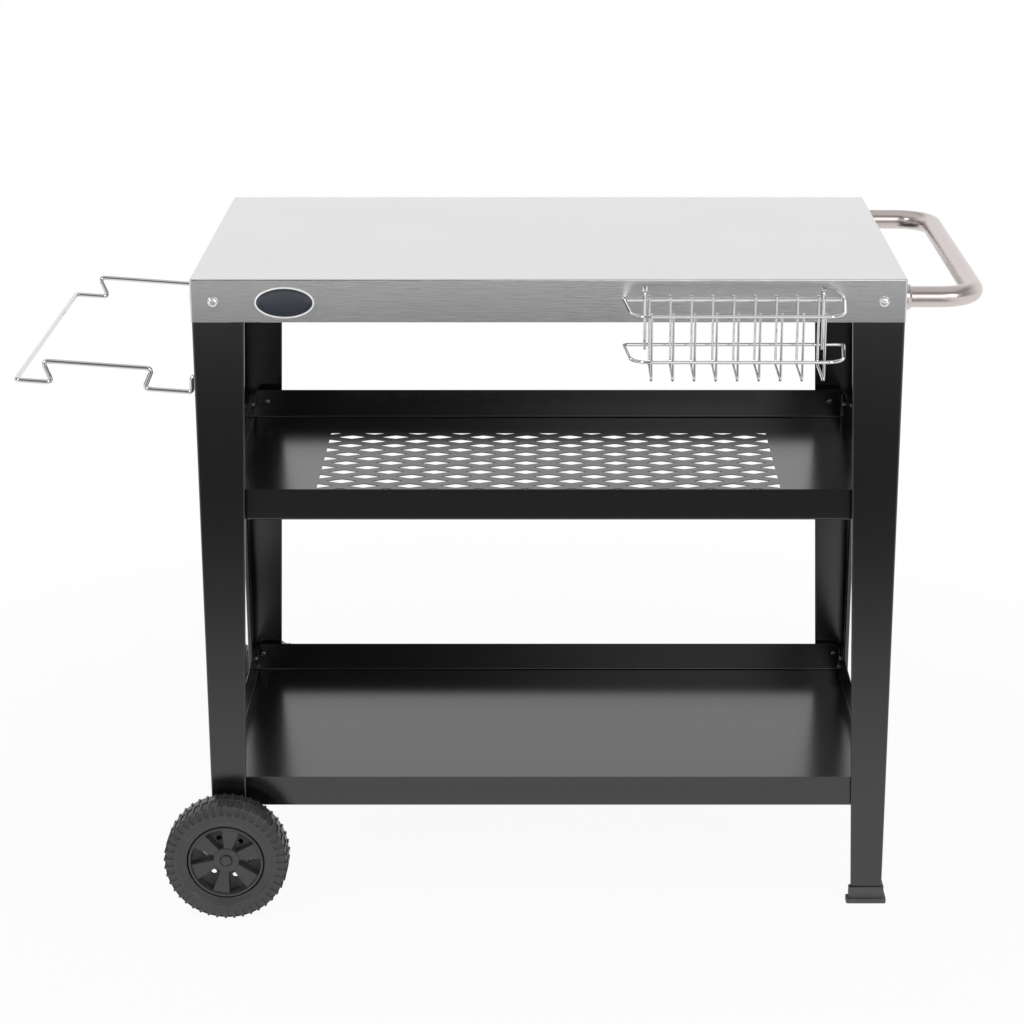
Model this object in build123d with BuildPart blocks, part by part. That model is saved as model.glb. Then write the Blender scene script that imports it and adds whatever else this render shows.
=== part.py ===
"""Kitchen cart: stainless folded top, tapered angle legs, two trays, wheels, handle, bag holder and basket.

Millimetres, +Z up, +X towards the handle, +Y towards the back. The origin is on the floor, under the middle
of the cart's outer box.
"""
import math
import os

from build123d import *

# Tabletop
table_width = 850.0
table_depth = 500.0
table_height = 810.0
apron_height = 52.0
top_sheet = 1.0
top_fold = 1.5
apron_corner = 2.0
apron_return = 8.0
return_gap = 3.0

# Legs: lipped angles whose flanges narrow towards the floor
leg_sheet = 1.2
leg_width_top = 63.8
leg_width_floor = 38.7
leg_lip = 5.0
leg_fold = 2.5
leg_head_gap = 3.5
leg_below_axle = 26.0

# Trays
shelf_sheet = 1.0
shelf_lip = 39.5
shelf_fold = 3.0
shelf_corner = 2.0
shelf_corner_cut = 3.5
shelf_lip_round = 6.0
middle_gap = 15.8
middle_drop = 265.0
middle_face_inset = 36.0
middle_side_inset = 34.0
middle_screw_drop = 17.0
bottom_gap = 7.3
bottom_above_axle = 91.5
bottom_face_inset = 17.5
bottom_side_inset = 30.0
bottom_screw_drop = 15.0
spacer_diameter = 10.0
shelf_screw_diameter = 5.0
shelf_head_diameter = 9.5
shelf_head_height = 3.0
shelf_head_round = 2.1
shelf_screw_short = 1.0

# Diamond holes in the middle tray
hole_pitch_x = 58.8
hole_pitch_y = 20.3
hole_pitches_x = 10
hole_pitches_y = 15
hole_width = 41.0
hole_depth = 19.0
hole_tip_round = 0.8
hole_side_round = 5.0

# Screws through the apron
apron_screw_inset = 27.0
apron_screw_drop = 27.0
apron_screw_diameter = 6.0
apron_head_diameter = 12.5
apron_head_height = 4.0
apron_screw_length = 12.0
apron_head_round = 2.2
recess_length = 6.0
recess_width = 1.5
recess_depth = 1.6
nut_across_flats = 10.0
nut_height = 5.0
thread_clearance = 0.05
hole_clearance = 0.3

# Badge on the front apron
badge_width = 71.0
badge_height = 38.0
badge_inset = 112.0
badge_drop = 28.0
badge_rim = 2.6
badge_rim_height = 2.0
badge_plate_height = 1.2
badge_clearance = 0.1

# Handle
handle_diameter = 25.0
handle_wall = 1.5
handle_reach = 99.0
handle_inset = 22.0
handle_drop = 26.0
handle_bend = 45.0
collar_diameter = 32.0
collar_length = 7.0
collar_edge_round = 2.0
plug_length = 25.0
handle_bolt_diameter = 8.0
handle_bolt_flats = 13.0
handle_bolt_head = 5.3
handle_bolt_grip = 18.0

# Wheels
wheel_diameter = 155.0
tyre_width = 44.0
tyre_shoulder = 7.0
sidewall_radius = 58.0
sidewall_bulge = 2.0
tread_count = 44
tread_groove_width = 8.2
tread_groove_depth = 2.6
tread_rib_width = 3.0
rim_radius = 48.3
rim_wall = 4.4
rim_width = 40.0
boss_diameter = 32.4
boss_inner_reach = 23.0
boss_outer_reach = 14.0
spoke_count = 6
spoke_root_width = 10.6
spoke_tip_width = 22.0
spoke_depth = 34.0
spoke_dish = 4.0
spoke_turn = 20.0
web_sheet = 4.0
web_hole_diameter = 7.0
web_hole_circle = 54.0
axle_diameter = 10.0
axle_clearance = 0.05
running_gap = 0.4
axle_spacer_length = 6.0
axle_spacer_diameter = 18.0
bush_wall = 1.5
bush_flange_diameter = 20.0
bush_flange = 2.0
cap_diameter = 13.0
cap_length = 5.0
cap_wall = 2.0
cap_edge_round = 1.6
cap_recess_diameter = 15.5
cap_recess_depth = 3.0

# Foot caps
foot_sleeve_height = 15.0
foot_wall = 2.4
foot_clearance = 0.2
foot_base_height = 6.0
foot_base_margin = 3.0
foot_edge_round = 1.5

# Bag holder: one bent wire, hooked into the left legs
bag_wire = 6.0
bag_inset = 25.0
bag_slot_drop = 125.0
bag_tip_reach = 12.0
bag_tip_rise = 20.0
bag_riser_out = 6.0
bag_riser_drop = 19.5
bag_arm_length = 218.0
bag_arm_tilt = 4.2
bag_jog_rise = 26.0
bag_jog_undercut = 10.8
bag_jog_near = 63.8
bag_jog_far = 174.0
bag_bend = 4.5
bag_lift_angle = 45.0
rest_gap = 0.3
slot_side_gap = 0.5

# Basket of welded wire, hooked into the front apron
basket_offset = 220.0
ring_wire = 4.0
ring_back_width = 262.0
ring_front_width = 246.0
ring_depth = 85.0
ring_front_bend = 24.0
ring_back_bend = 5.5
upper_ring_drop = 24.5
ring_spacing = 54.0
rib_wire = 3.0
rib_count = 9
rib_pitch = 25.1
rib_bottom_drop = 24.0
rib_bend = 8.0
rib_stub = 1.5
hook_wire = 4.0
hook_spacing = 211.4
hook_drop = 12.5
hook_bend = 4.0
hook_tip_straight = 3.0
hook_tip_reach = 8.0
hook_tip_rise = 3.5
hook_tail = 3.0
weld_bite = 0.3
basket_tilt_angle = 40.0

# Reach of the outer pieces past the table's edges, which puts the table in the cart's outer box
bag_reach = bag_arm_length - top_sheet + bag_wire / 2
basket_reach = rest_gap + ring_wire + ring_depth
wheel_reach = axle_spacer_length + running_gap + boss_inner_reach + tyre_width / 2 - top_sheet
table_x = (bag_reach - handle_reach) / 2
table_y = (basket_reach - wheel_reach) / 2

# Planes that the pieces share
left = table_x - table_width / 2
right = table_x + table_width / 2
front = table_y - table_depth / 2
back = table_y + table_depth / 2
leg_left = left + top_sheet
leg_right = right - top_sheet
leg_front = front + top_sheet
leg_back = back - top_sheet
apron_bottom = table_height - apron_height
leg_top = table_height - leg_head_gap
axle_z = wheel_diameter / 2
wheel_leg_bottom = axle_z - leg_below_axle
middle_lip_top = table_height - middle_drop
bottom_lip_top = axle_z + bottom_above_axle
apron_screw_z = table_height - apron_screw_drop
handle_z = table_height - handle_drop
bag_slot_z = table_height - bag_slot_drop
hook_z = table_height - hook_drop
sides = (-1, 1)
match_tolerance = 0.01


def leg_width_at(z):
    """Width of a leg's flange at a height above the floor."""
    return leg_width_floor + (leg_width_top - leg_width_floor) * z / table_height


def swing_slot(wire, sheet, angle):
    """Lowest and highest edge of a slot, from the wire's axis, in which the wire lies and swings by angle."""
    turn = math.radians(angle)
    low = -wire / 2 - sheet / 2 * math.tan(turn) - rest_gap
    high = -wire / 2 + wire / math.cos(turn) + sheet / 2 * math.tan(turn) + rest_gap
    return low, high


bag_slot_low, bag_slot_high = swing_slot(bag_wire, leg_sheet, bag_lift_angle)
hook_slot_low, hook_slot_high = swing_slot(hook_wire, top_sheet, basket_tilt_angle)
bag_slot_middle = bag_slot_z + (bag_slot_low + bag_slot_high) / 2
hook_slot_middle = hook_z + (hook_slot_low + hook_slot_high) / 2
axle_x = leg_left + leg_width_at(axle_z) / 2
basket_x = table_x + basket_offset
hook_places = [basket_x - hook_spacing / 2, basket_x + hook_spacing / 2]
bag_arm_places = [front + bag_inset, back - bag_inset]
handle_arm_places = [front + handle_inset, back - handle_inset]

os.makedirs("parts", exist_ok=True)


# Tabletop: a sheet folded down on four sides, with the lower edges folded in between the legs
with BuildPart() as tabletop:
    with BuildSketch(Plane.XY.offset(apron_bottom)):
        with Locations((table_x, table_y)):
            RectangleRounded(table_width, table_depth, apron_corner)
    extrude(amount=apron_height)
    fillet(tabletop.faces().sort_by(Axis.Z)[-1].edges(), top_fold)
    with BuildPart(mode=Mode.SUBTRACT) as table_inside:
        with BuildSketch(Plane.XY.offset(apron_bottom)):
            with Locations((table_x, table_y)):
                RectangleRounded(
                    table_width - 2 * top_sheet, table_depth - 2 * top_sheet, apron_corner - top_sheet
                )
        extrude(amount=apron_height - top_sheet)
        fillet(table_inside.faces().sort_by(Axis.Z)[-1].edges(), top_fold - top_sheet)
    return_x = table_width - 2 * (top_sheet + leg_width_top + return_gap)
    return_y = table_depth - 2 * (top_sheet + leg_width_top + return_gap)
    with Locations((table_x, front, apron_bottom)):
        Box(return_x, apron_return, top_sheet, align=(Align.CENTER, Align.MIN, Align.MIN))
    with Locations((table_x, back, apron_bottom)):
        Box(return_x, apron_return, top_sheet, align=(Align.CENTER, Align.MAX, Align.MIN))
    with Locations((left, table_y, apron_bottom)):
        Box(apron_return, return_y, top_sheet, align=(Align.MIN, Align.CENTER, Align.MIN))
    with Locations((right, table_y, apron_bottom)):
        Box(apron_return, return_y, top_sheet, align=(Align.MAX, Align.CENTER, Align.MIN))
    with BuildSketch(Plane.XZ.offset(-table_y)):
        with Locations((left + apron_screw_inset, apron_screw_z), (right - apron_screw_inset, apron_screw_z)):
            Circle(apron_screw_diameter / 2 + hole_clearance)
    extrude(amount=table_depth, both=True, mode=Mode.SUBTRACT)
    with BuildSketch(Plane.YZ.offset(left)):
        with Locations((front + apron_screw_inset, apron_screw_z), (back - apron_screw_inset, apron_screw_z)):
            Circle(apron_screw_diameter / 2 + hole_clearance)
    extrude(amount=apron_return, both=True, mode=Mode.SUBTRACT)
    with BuildSketch(Plane.YZ.offset(right)):
        with Locations(*[(y, handle_z) for y in handle_arm_places]):
            Circle(handle_bolt_diameter / 2 + hole_clearance)
    extrude(amount=apron_return, both=True, mode=Mode.SUBTRACT)
    with BuildSketch(Plane.XZ.offset(-front)):
        with Locations(*[(x, hook_slot_middle) for x in hook_places]):
            Rectangle(hook_wire + 2 * slot_side_gap, hook_slot_high - hook_slot_low)
    extrude(amount=2 * top_sheet, both=True, mode=Mode.SUBTRACT)
tabletop.part.label = "tabletop"
export_step(tabletop.part, "parts/tabletop.step")


# Legs
def build_leg(side, face):
    """A tapered lipped angle.

    side is -1 on the left and 1 on the right, face -1 at the front and 1 at the back.
    """
    on_left = side < 0
    corner_x = leg_left if on_left else leg_right
    corner_y = leg_front if face < 0 else leg_back
    bottom = wheel_leg_bottom if on_left else foot_base_height
    width_low = leg_width_at(bottom)
    width_high = leg_width_at(leg_top)
    width_middle = (width_low + width_high) / 2
    z_middle = (bottom + leg_top) / 2
    face_plane = Plane.XZ.offset(-corner_y)
    side_plane = Plane.YZ.offset(corner_x)

    def strip(corner, inward, inset_low, inset_high):
        """A strip of flange from the given insets out to the flange's tapered edge."""
        return [
            (corner + inward * inset_low, bottom),
            (corner + inward * width_low, bottom),
            (corner + inward * width_high, leg_top),
            (corner + inward * inset_high, leg_top),
        ]

    with BuildPart() as leg:
        with BuildSketch(face_plane):
            Polygon(*strip(corner_x, -side, 0, 0), align=None)
        extrude(amount=face * leg_sheet)
        with BuildSketch(face_plane):
            Polygon(*strip(corner_x, -side, width_low - leg_sheet, width_high - leg_sheet), align=None)
        extrude(amount=face * leg_lip)
        with BuildSketch(side_plane):
            Polygon(*strip(corner_y, -face, 0, 0), align=None)
        extrude(amount=-side * leg_sheet)
        with BuildSketch(side_plane):
            Polygon(*strip(corner_y, -face, width_low - leg_sheet, width_high - leg_sheet), align=None)
        extrude(amount=-side * leg_lip)

        # Rounded folds: the outside and inside edge of each
        folds = [
            ((corner_x, corner_y), (-side, -face)),
            ((corner_x - side * width_middle, corner_y), (side, -face)),
            ((corner_x, corner_y - face * width_middle), (-side, face)),
        ]
        for (x, y), (inner_x, inner_y) in folds:
            inside = (x + inner_x * leg_sheet, y + inner_y * leg_sheet, z_middle)
            fillet(leg.edges().sort_by_distance((x, y, z_middle))[0], leg_fold)
            fillet(leg.edges().sort_by_distance(inside)[0], leg_fold - leg_sheet)

        screw_x = (left + apron_screw_inset) if on_left else (right - apron_screw_inset)
        with BuildSketch(face_plane):
            with Locations((screw_x, apron_screw_z)):
                Circle(apron_screw_diameter / 2 + hole_clearance)
            if on_left:
                with Locations((axle_x, axle_z)):
                    Circle(axle_diameter / 2 + axle_clearance + bush_wall)
        extrude(amount=2 * leg_sheet, both=True, mode=Mode.SUBTRACT)
        near_edge = front if face < 0 else back
        with BuildSketch(side_plane):
            if on_left:
                with Locations((near_edge - face * apron_screw_inset, apron_screw_z)):
                    Circle(apron_screw_diameter / 2 + hole_clearance)
                with Locations((near_edge - face * bag_inset, bag_slot_middle)):
                    Rectangle(bag_wire + 2 * slot_side_gap, bag_slot_high - bag_slot_low)
            else:
                with Locations((near_edge - face * handle_inset, handle_z)):
                    Circle(handle_bolt_diameter / 2 + hole_clearance)
        extrude(amount=2 * leg_sheet, both=True, mode=Mode.SUBTRACT)
    return leg


leg_corners = (
    ("leg_front_left", -1, -1),
    ("leg_front_right", 1, -1),
    ("leg_rear_left", -1, 1),
    ("leg_rear_right", 1, 1),
)
for leg_name, side, face in leg_corners:
    leg = build_leg(side, face)
    leg.part.label = leg_name
    export_step(leg.part, f"parts/{leg_name}.step")


# Trays, with their spacers and screws
def shelf_screw_planes(gap, screw_z, face_inset, side_inset):
    """A plane on the outside of each tray lip at each screw, facing the leg."""
    planes = []
    for side in sides:
        for face in sides:
            corner_x = leg_left if side < 0 else leg_right
            corner_y = leg_front if face < 0 else leg_back
            lip_x = corner_x - side * (leg_sheet + gap)
            lip_y = corner_y - face * (leg_sheet + gap)
            on_face = (corner_x - side * face_inset, lip_y, screw_z)
            on_side = (lip_x, corner_y - face * side_inset, screw_z)
            planes.append(Plane(origin=on_face, x_dir=(1, 0, 0), z_dir=(0, face, 0)))
            planes.append(Plane(origin=on_side, x_dir=(0, 1, 0), z_dir=(side, 0, 0)))
    return planes


def build_shelf(gap, lip_top, screw_planes, floor_holes):
    """A tray folded up on four sides, with open corners and a screw hole near each end of each lip."""
    width = leg_right - leg_left - 2 * (leg_sheet + gap)
    depth = leg_back - leg_front - 2 * (leg_sheet + gap)
    with BuildPart() as shelf:
        with BuildSketch(Plane.XY.offset(lip_top - shelf_lip)):
            with Locations((table_x, table_y)):
                RectangleRounded(width, depth, shelf_corner)
        extrude(amount=shelf_lip)
        fillet(shelf.faces().sort_by(Axis.Z)[0].edges(), shelf_fold)
        with BuildPart(mode=Mode.SUBTRACT) as shelf_inside:
            with BuildSketch(Plane.XY.offset(lip_top - shelf_lip + shelf_sheet)):
                with Locations((table_x, table_y)):
                    RectangleRounded(
                        width - 2 * shelf_sheet, depth - 2 * shelf_sheet, shelf_corner - shelf_sheet
                    )
            extrude(amount=shelf_lip)
            fillet(shelf_inside.faces().sort_by(Axis.Z)[0].edges(), shelf_fold - shelf_sheet)
        with Locations((table_x, table_y, lip_top)):
            with GridLocations(width, depth, 2, 2):
                Box(
                    2 * shelf_corner_cut,
                    2 * shelf_corner_cut,
                    shelf_lip - shelf_fold,
                    align=(Align.CENTER, Align.CENTER, Align.MAX),
                    mode=Mode.SUBTRACT,
                )
        lip_ends = shelf.edges().filter_by(lambda edge: abs(edge.length - shelf_sheet) < match_tolerance)
        fillet(
            lip_ends.filter_by_position(Axis.Z, lip_top - match_tolerance, lip_top + match_tolerance),
            shelf_lip_round,
        )
        with Locations(*screw_planes):
            Cylinder(shelf_screw_diameter / 2 + hole_clearance, 3 * shelf_sheet, mode=Mode.SUBTRACT)
        if floor_holes:
            with BuildSketch(Plane.XY.offset(lip_top - shelf_lip - shelf_sheet)):
                with Locations(*floor_holes):
                    add(diamond.sketch)
                with Locations((table_x, table_y)):
                    Rectangle(
                        hole_pitches_x * hole_pitch_x, hole_pitches_y * hole_pitch_y, mode=Mode.INTERSECT
                    )
            extrude(amount=3 * shelf_sheet, mode=Mode.SUBTRACT, clean=False)
    return shelf


def build_spacers(gap, screw_planes):
    """Threaded spacers, welded inside the legs, that the tray's lips are screwed to."""
    with BuildPart() as spacers:
        with Locations(*screw_planes):
            Cylinder(spacer_diameter / 2, gap, align=(Align.CENTER, Align.CENTER, Align.MIN))
        with Locations(*screw_planes):
            Cylinder(shelf_screw_diameter / 2 + thread_clearance, 3 * gap, mode=Mode.SUBTRACT)
    return spacers


def build_screw(head_diameter, head_height, head_round, shank_diameter, shank_length):
    """A pan-head screw along +Z, with the underside of its head at the origin."""
    with BuildPart() as screw:
        Cylinder(head_diameter / 2, head_height, align=(Align.CENTER, Align.CENTER, Align.MAX))
        fillet(screw.faces().sort_by(Axis.Z)[0].edges(), head_round)
        Cylinder(shank_diameter / 2, shank_length, align=(Align.CENTER, Align.CENTER, Align.MIN))
        with Locations((0, 0, -head_height)):
            Box(recess_length, recess_width, 2 * recess_depth, mode=Mode.SUBTRACT)
            Box(recess_width, recess_length, 2 * recess_depth, mode=Mode.SUBTRACT)
    return screw


def build_shelf_screws(gap, screw_planes):
    """Screws from inside the tray, through its lips into the spacers."""
    shank = shelf_sheet + gap - shelf_screw_short
    screw = build_screw(shelf_head_diameter, shelf_head_height, shelf_head_round, shelf_screw_diameter, shank)
    with BuildPart() as screws:
        with Locations(*[plane.offset(-shelf_sheet) for plane in screw_planes]):
            add(screw.part)
    return screws


middle_planes = shelf_screw_planes(
    middle_gap, middle_lip_top - middle_screw_drop, middle_face_inset, middle_side_inset
)
bottom_planes = shelf_screw_planes(
    bottom_gap, bottom_lip_top - bottom_screw_drop, bottom_face_inset, bottom_side_inset
)

# One diamond hole with rounded corners, and the places of all holes in staggered rows
with BuildSketch() as diamond:
    Polygon((-hole_width / 2, 0), (0, -hole_depth / 2), (hole_width / 2, 0), (0, hole_depth / 2))
    fillet(diamond.vertices().group_by(Axis.X)[1], hole_side_round)
    fillet([diamond.vertices().sort_by(Axis.X)[0], diamond.vertices().sort_by(Axis.X)[-1]], hole_tip_round)

hole_places = []
for row in range(hole_pitches_y + 1):
    stagger = row % 2
    for column in range(hole_pitches_x + 1 - stagger):
        hole_x = table_x + (column + stagger / 2 - hole_pitches_x / 2) * hole_pitch_x
        hole_y = table_y + (hole_pitches_y / 2 - row) * hole_pitch_y
        hole_places.append((hole_x, hole_y))

middle_shelf = build_shelf(middle_gap, middle_lip_top, middle_planes, hole_places)
middle_shelf.part.label = "middle_shelf"
export_step(middle_shelf.part, "parts/middle_shelf.step")

bottom_shelf = build_shelf(bottom_gap, bottom_lip_top, bottom_planes, [])
bottom_shelf.part.label = "bottom_shelf"
export_step(bottom_shelf.part, "parts/bottom_shelf.step")

for shelf_name, gap, planes in (
    ("middle_shelf", middle_gap, middle_planes),
    ("bottom_shelf", bottom_gap, bottom_planes),
):
    spacers = build_spacers(gap, planes)
    spacers.part.label = f"{shelf_name}_spacers"
    export_step(spacers.part, f"parts/{shelf_name}_spacers.step")
    shelf_screws = build_shelf_screws(gap, planes)
    shelf_screws.part.label = f"{shelf_name}_screws"
    export_step(shelf_screws.part, f"parts/{shelf_name}_screws.step")


# Screws and nuts that hold the top to the legs, at the front, the back and the left
apron_planes = []
for face, face_y in ((-1, front), (1, back)):
    for x in (left + apron_screw_inset, right - apron_screw_inset):
        apron_planes.append(Plane(origin=(x, face_y, apron_screw_z), x_dir=(1, 0, 0), z_dir=(0, -face, 0)))
    side_y = face_y - face * apron_screw_inset
    apron_planes.append(Plane(origin=(left, side_y, apron_screw_z), x_dir=(0, 1, 0), z_dir=(1, 0, 0)))

apron_screw = build_screw(
    apron_head_diameter, apron_head_height, apron_head_round, apron_screw_diameter, apron_screw_length
)
with BuildPart() as apron_screws:
    with Locations(*apron_planes):
        add(apron_screw.part)
apron_screws.part.label = "apron_screws"
export_step(apron_screws.part, "parts/apron_screws.step")

with BuildPart() as nut:
    with BuildSketch(Plane.XY.offset(top_sheet + leg_sheet)):
        RegularPolygon(nut_across_flats / 2, 6, major_radius=False)
        Circle(apron_screw_diameter / 2 + thread_clearance, mode=Mode.SUBTRACT)
    extrude(amount=nut_height)

with BuildPart() as apron_nuts:
    with Locations(*apron_planes):
        add(nut.part)
apron_nuts.part.label = "apron_nuts"
export_step(apron_nuts.part, "parts/apron_nuts.step")


# Blank oval badge: a bright rim round a dark plate
badge_plane = Plane(
    origin=(left + badge_inset, front, table_height - badge_drop), x_dir=(1, 0, 0), z_dir=(0, -1, 0)
)
with BuildPart() as badge_bezel:
    with BuildSketch(badge_plane):
        Ellipse(badge_width / 2, badge_height / 2)
        Ellipse(badge_width / 2 - badge_rim, badge_height / 2 - badge_rim, mode=Mode.SUBTRACT)
    extrude(amount=badge_rim_height)
badge_bezel.part.label = "badge_bezel"
export_step(badge_bezel.part, "parts/badge_bezel.step")

badge_inner = badge_rim + badge_clearance
with BuildPart() as badge_insert:
    with BuildSketch(badge_plane):
        Ellipse(badge_width / 2 - badge_inner, badge_height / 2 - badge_inner)
    extrude(amount=badge_plate_height)
badge_insert.part.label = "badge_insert"
export_step(badge_insert.part, "parts/badge_insert.step")


# Handle: a bent tube, bolted from inside the right legs into plugs in its ends
handle_bar_x = right + handle_reach - handle_diameter / 2
with BuildPart() as handle_tube:
    with BuildLine() as handle_path:
        FilletPolyline(
            (right, handle_arm_places[0], handle_z),
            (handle_bar_x, handle_arm_places[0], handle_z),
            (handle_bar_x, handle_arm_places[1], handle_z),
            (right, handle_arm_places[1], handle_z),
            radius=handle_bend,
        )
    with BuildSketch(Plane.YZ.offset(right)):
        with Locations((handle_arm_places[0], handle_z)):
            Circle(handle_diameter / 2)
            Circle(handle_diameter / 2 - handle_wall, mode=Mode.SUBTRACT)
    sweep(path=handle_path.wire())
handle_tube.part.label = "handle_tube"
export_step(handle_tube.part, "parts/handle_tube.step")

handle_end_planes = [
    Plane(origin=(right, y, handle_z), x_dir=(0, 1, 0), z_dir=(1, 0, 0)) for y in handle_arm_places
]
with BuildPart() as handle_collars:
    with Locations(*handle_end_planes):
        Cylinder(collar_diameter / 2, collar_length, align=(Align.CENTER, Align.CENTER, Align.MIN))
    fillet(handle_collars.faces().group_by(Axis.X)[-1].edges(), collar_edge_round)
    with Locations(*handle_end_planes):
        Cylinder(handle_diameter / 2 + thread_clearance, 3 * collar_length, mode=Mode.SUBTRACT)
handle_collars.part.label = "handle_collars"
export_step(handle_collars.part, "parts/handle_collars.step")

with BuildPart() as handle_plugs:
    with Locations(*handle_end_planes):
        Cylinder(
            handle_diameter / 2 - handle_wall, plug_length, align=(Align.CENTER, Align.CENTER, Align.MIN)
        )
    with Locations(*handle_end_planes):
        Cylinder(handle_bolt_diameter / 2 + thread_clearance, 3 * plug_length, mode=Mode.SUBTRACT)
handle_plugs.part.label = "handle_plugs"
export_step(handle_plugs.part, "parts/handle_plugs.step")

with BuildPart() as handle_bolts:
    for plane in handle_end_planes:
        with BuildSketch(plane.offset(-top_sheet - leg_sheet)):
            RegularPolygon(handle_bolt_flats / 2, 6, major_radius=False)
        extrude(amount=-handle_bolt_head)
        with BuildSketch(plane.offset(-top_sheet - leg_sheet)):
            Circle(handle_bolt_diameter / 2)
        extrude(amount=top_sheet + leg_sheet + handle_bolt_grip)
handle_bolts.part.label = "handle_bolts"
export_step(handle_bolts.part, "parts/handle_bolts.step")


# Axle through both left legs, with its bushes, spacers and end caps
hub_inner_gap = axle_spacer_length + running_gap
boss_length = boss_inner_reach + boss_outer_reach
cap_seat = hub_inner_gap + boss_length - cap_recess_depth + running_gap
axle_reach = cap_seat + cap_length - cap_wall
axle_planes = [
    Plane(origin=(axle_x, leg_front, axle_z), x_dir=(1, 0, 0), z_dir=(0, -1, 0)),
    Plane(origin=(axle_x, leg_back, axle_z), x_dir=(1, 0, 0), z_dir=(0, 1, 0)),
]
with BuildPart() as wheel_axle:
    with BuildSketch(axle_planes[0].offset(axle_reach)):
        Circle(axle_diameter / 2)
    extrude(amount=-(leg_back - leg_front + 2 * axle_reach))
wheel_axle.part.label = "wheel_axle"
export_step(wheel_axle.part, "parts/wheel_axle.step")

bush_bore = axle_diameter / 2 + axle_clearance
with BuildPart() as axle_bushes:
    for plane in axle_planes:
        with BuildSketch(plane):
            Circle(bush_bore + bush_wall)
        extrude(amount=-leg_sheet)
        with BuildSketch(plane.offset(-leg_sheet)):
            Circle(bush_flange_diameter / 2)
        extrude(amount=-bush_flange)
        with BuildSketch(plane):
            Circle(bush_bore)
        extrude(amount=-(leg_sheet + bush_flange), mode=Mode.SUBTRACT)
axle_bushes.part.label = "axle_bushes"
export_step(axle_bushes.part, "parts/axle_bushes.step")

with BuildPart() as axle_spacers:
    for plane in axle_planes:
        with BuildSketch(plane):
            Circle(axle_spacer_diameter / 2)
            Circle(bush_bore, mode=Mode.SUBTRACT)
        extrude(amount=axle_spacer_length)
axle_spacers.part.label = "axle_spacers"
export_step(axle_spacers.part, "parts/axle_spacers.step")

with BuildPart() as axle_caps:
    for plane in axle_planes:
        with BuildSketch(plane.offset(cap_seat)):
            Circle(cap_diameter / 2)
        extrude(amount=cap_length)
    outer_faces = axle_caps.faces().sort_by(Axis.Y)
    fillet([outer_faces[0].edges(), outer_faces[-1].edges()], cap_edge_round)
    for plane in axle_planes:
        with BuildSketch(plane):
            Circle(bush_bore)
        extrude(amount=axle_reach, mode=Mode.SUBTRACT)
axle_caps.part.label = "axle_caps"
export_step(axle_caps.part, "parts/axle_caps.step")


# Wheels: a treaded tyre on a spoked hub
def build_tyre(middle):
    """The tyre round the wheel's middle plane, whose normal points away from the cart."""
    profile_plane = Plane(origin=middle.origin, x_dir=(1, 0, 0), z_dir=(0, 0, middle.z_dir.Y))
    half = tyre_width / 2
    tread_radius = wheel_diameter / 2
    with BuildPart() as tyre:
        with BuildSketch(profile_plane) as tyre_profile:
            with BuildLine():
                Polyline(
                    (rim_radius, -half + sidewall_bulge),
                    (sidewall_radius, -half),
                    (tread_radius, -half),
                    (tread_radius, half),
                    (sidewall_radius, half),
                    (rim_radius, half - sidewall_bulge),
                    close=True,
                )
            make_face()
            fillet(tyre_profile.vertices().group_by(Axis.X)[-1], tyre_shoulder)
        revolve(axis=Axis(middle.origin, middle.z_dir))
        for row in sides:
            with BuildSketch(middle.offset(row * tread_rib_width / 2)):
                with PolarLocations(tread_radius, tread_count, start_angle=row * 90 / tread_count):
                    Rectangle(2 * tread_groove_depth, tread_groove_width)
            extrude(amount=row * half, mode=Mode.SUBTRACT, clean=False)
    return tyre


def build_hub(middle):
    """The hub: rim, boss, web with small holes, and spokes dished towards the boss on the outside."""
    with BuildPart() as hub:
        with BuildSketch(middle):
            Circle(rim_radius)
            Circle(rim_radius - rim_wall, mode=Mode.SUBTRACT)
        extrude(amount=rim_width / 2, both=True)
        with BuildSketch(middle):
            Circle(rim_radius - rim_wall)
            with PolarLocations(web_hole_circle / 2, spoke_count, start_angle=spoke_turn + 180 / spoke_count):
                Circle(web_hole_diameter / 2, mode=Mode.SUBTRACT)
        extrude(amount=web_sheet / 2, both=True)
        with BuildSketch(middle):
            with PolarLocations(0, spoke_count, start_angle=spoke_turn):
                Polygon(
                    (boss_diameter / 2 - rim_wall, -spoke_root_width / 2),
                    (rim_radius - rim_wall / 2, -spoke_tip_width / 2),
                    (rim_radius - rim_wall / 2, spoke_tip_width / 2),
                    (boss_diameter / 2 - rim_wall, spoke_root_width / 2),
                    align=None,
                )
        extrude(amount=spoke_depth / 2, both=True)
        with Locations(middle.offset(spoke_depth / 2 - spoke_dish)):
            Cone(
                boss_diameter / 2,
                rim_radius - 2 * rim_wall,
                spoke_dish,
                align=(Align.CENTER, Align.CENTER, Align.MIN),
                mode=Mode.SUBTRACT,
            )
        with BuildSketch(middle.offset(-boss_inner_reach)):
            Circle(boss_diameter / 2)
        extrude(amount=boss_length)
        with BuildSketch(middle):
            Circle(bush_bore)
        extrude(amount=boss_length, both=True, mode=Mode.SUBTRACT)
        with BuildSketch(middle.offset(boss_outer_reach)):
            Circle(cap_recess_diameter / 2)
        extrude(amount=-cap_recess_depth, mode=Mode.SUBTRACT)
    return hub


for wheel_name, plane in zip(("front_wheel", "rear_wheel"), axle_planes):
    middle = plane.offset(hub_inner_gap + boss_inner_reach)
    tyre = build_tyre(middle)
    tyre.part.label = f"{wheel_name}_tyre"
    export_step(tyre.part, f"parts/{wheel_name}_tyre.step")
    hub = build_hub(middle)
    hub.part.label = f"{wheel_name}_hub"
    export_step(hub.part, f"parts/{wheel_name}_hub.step")


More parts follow.
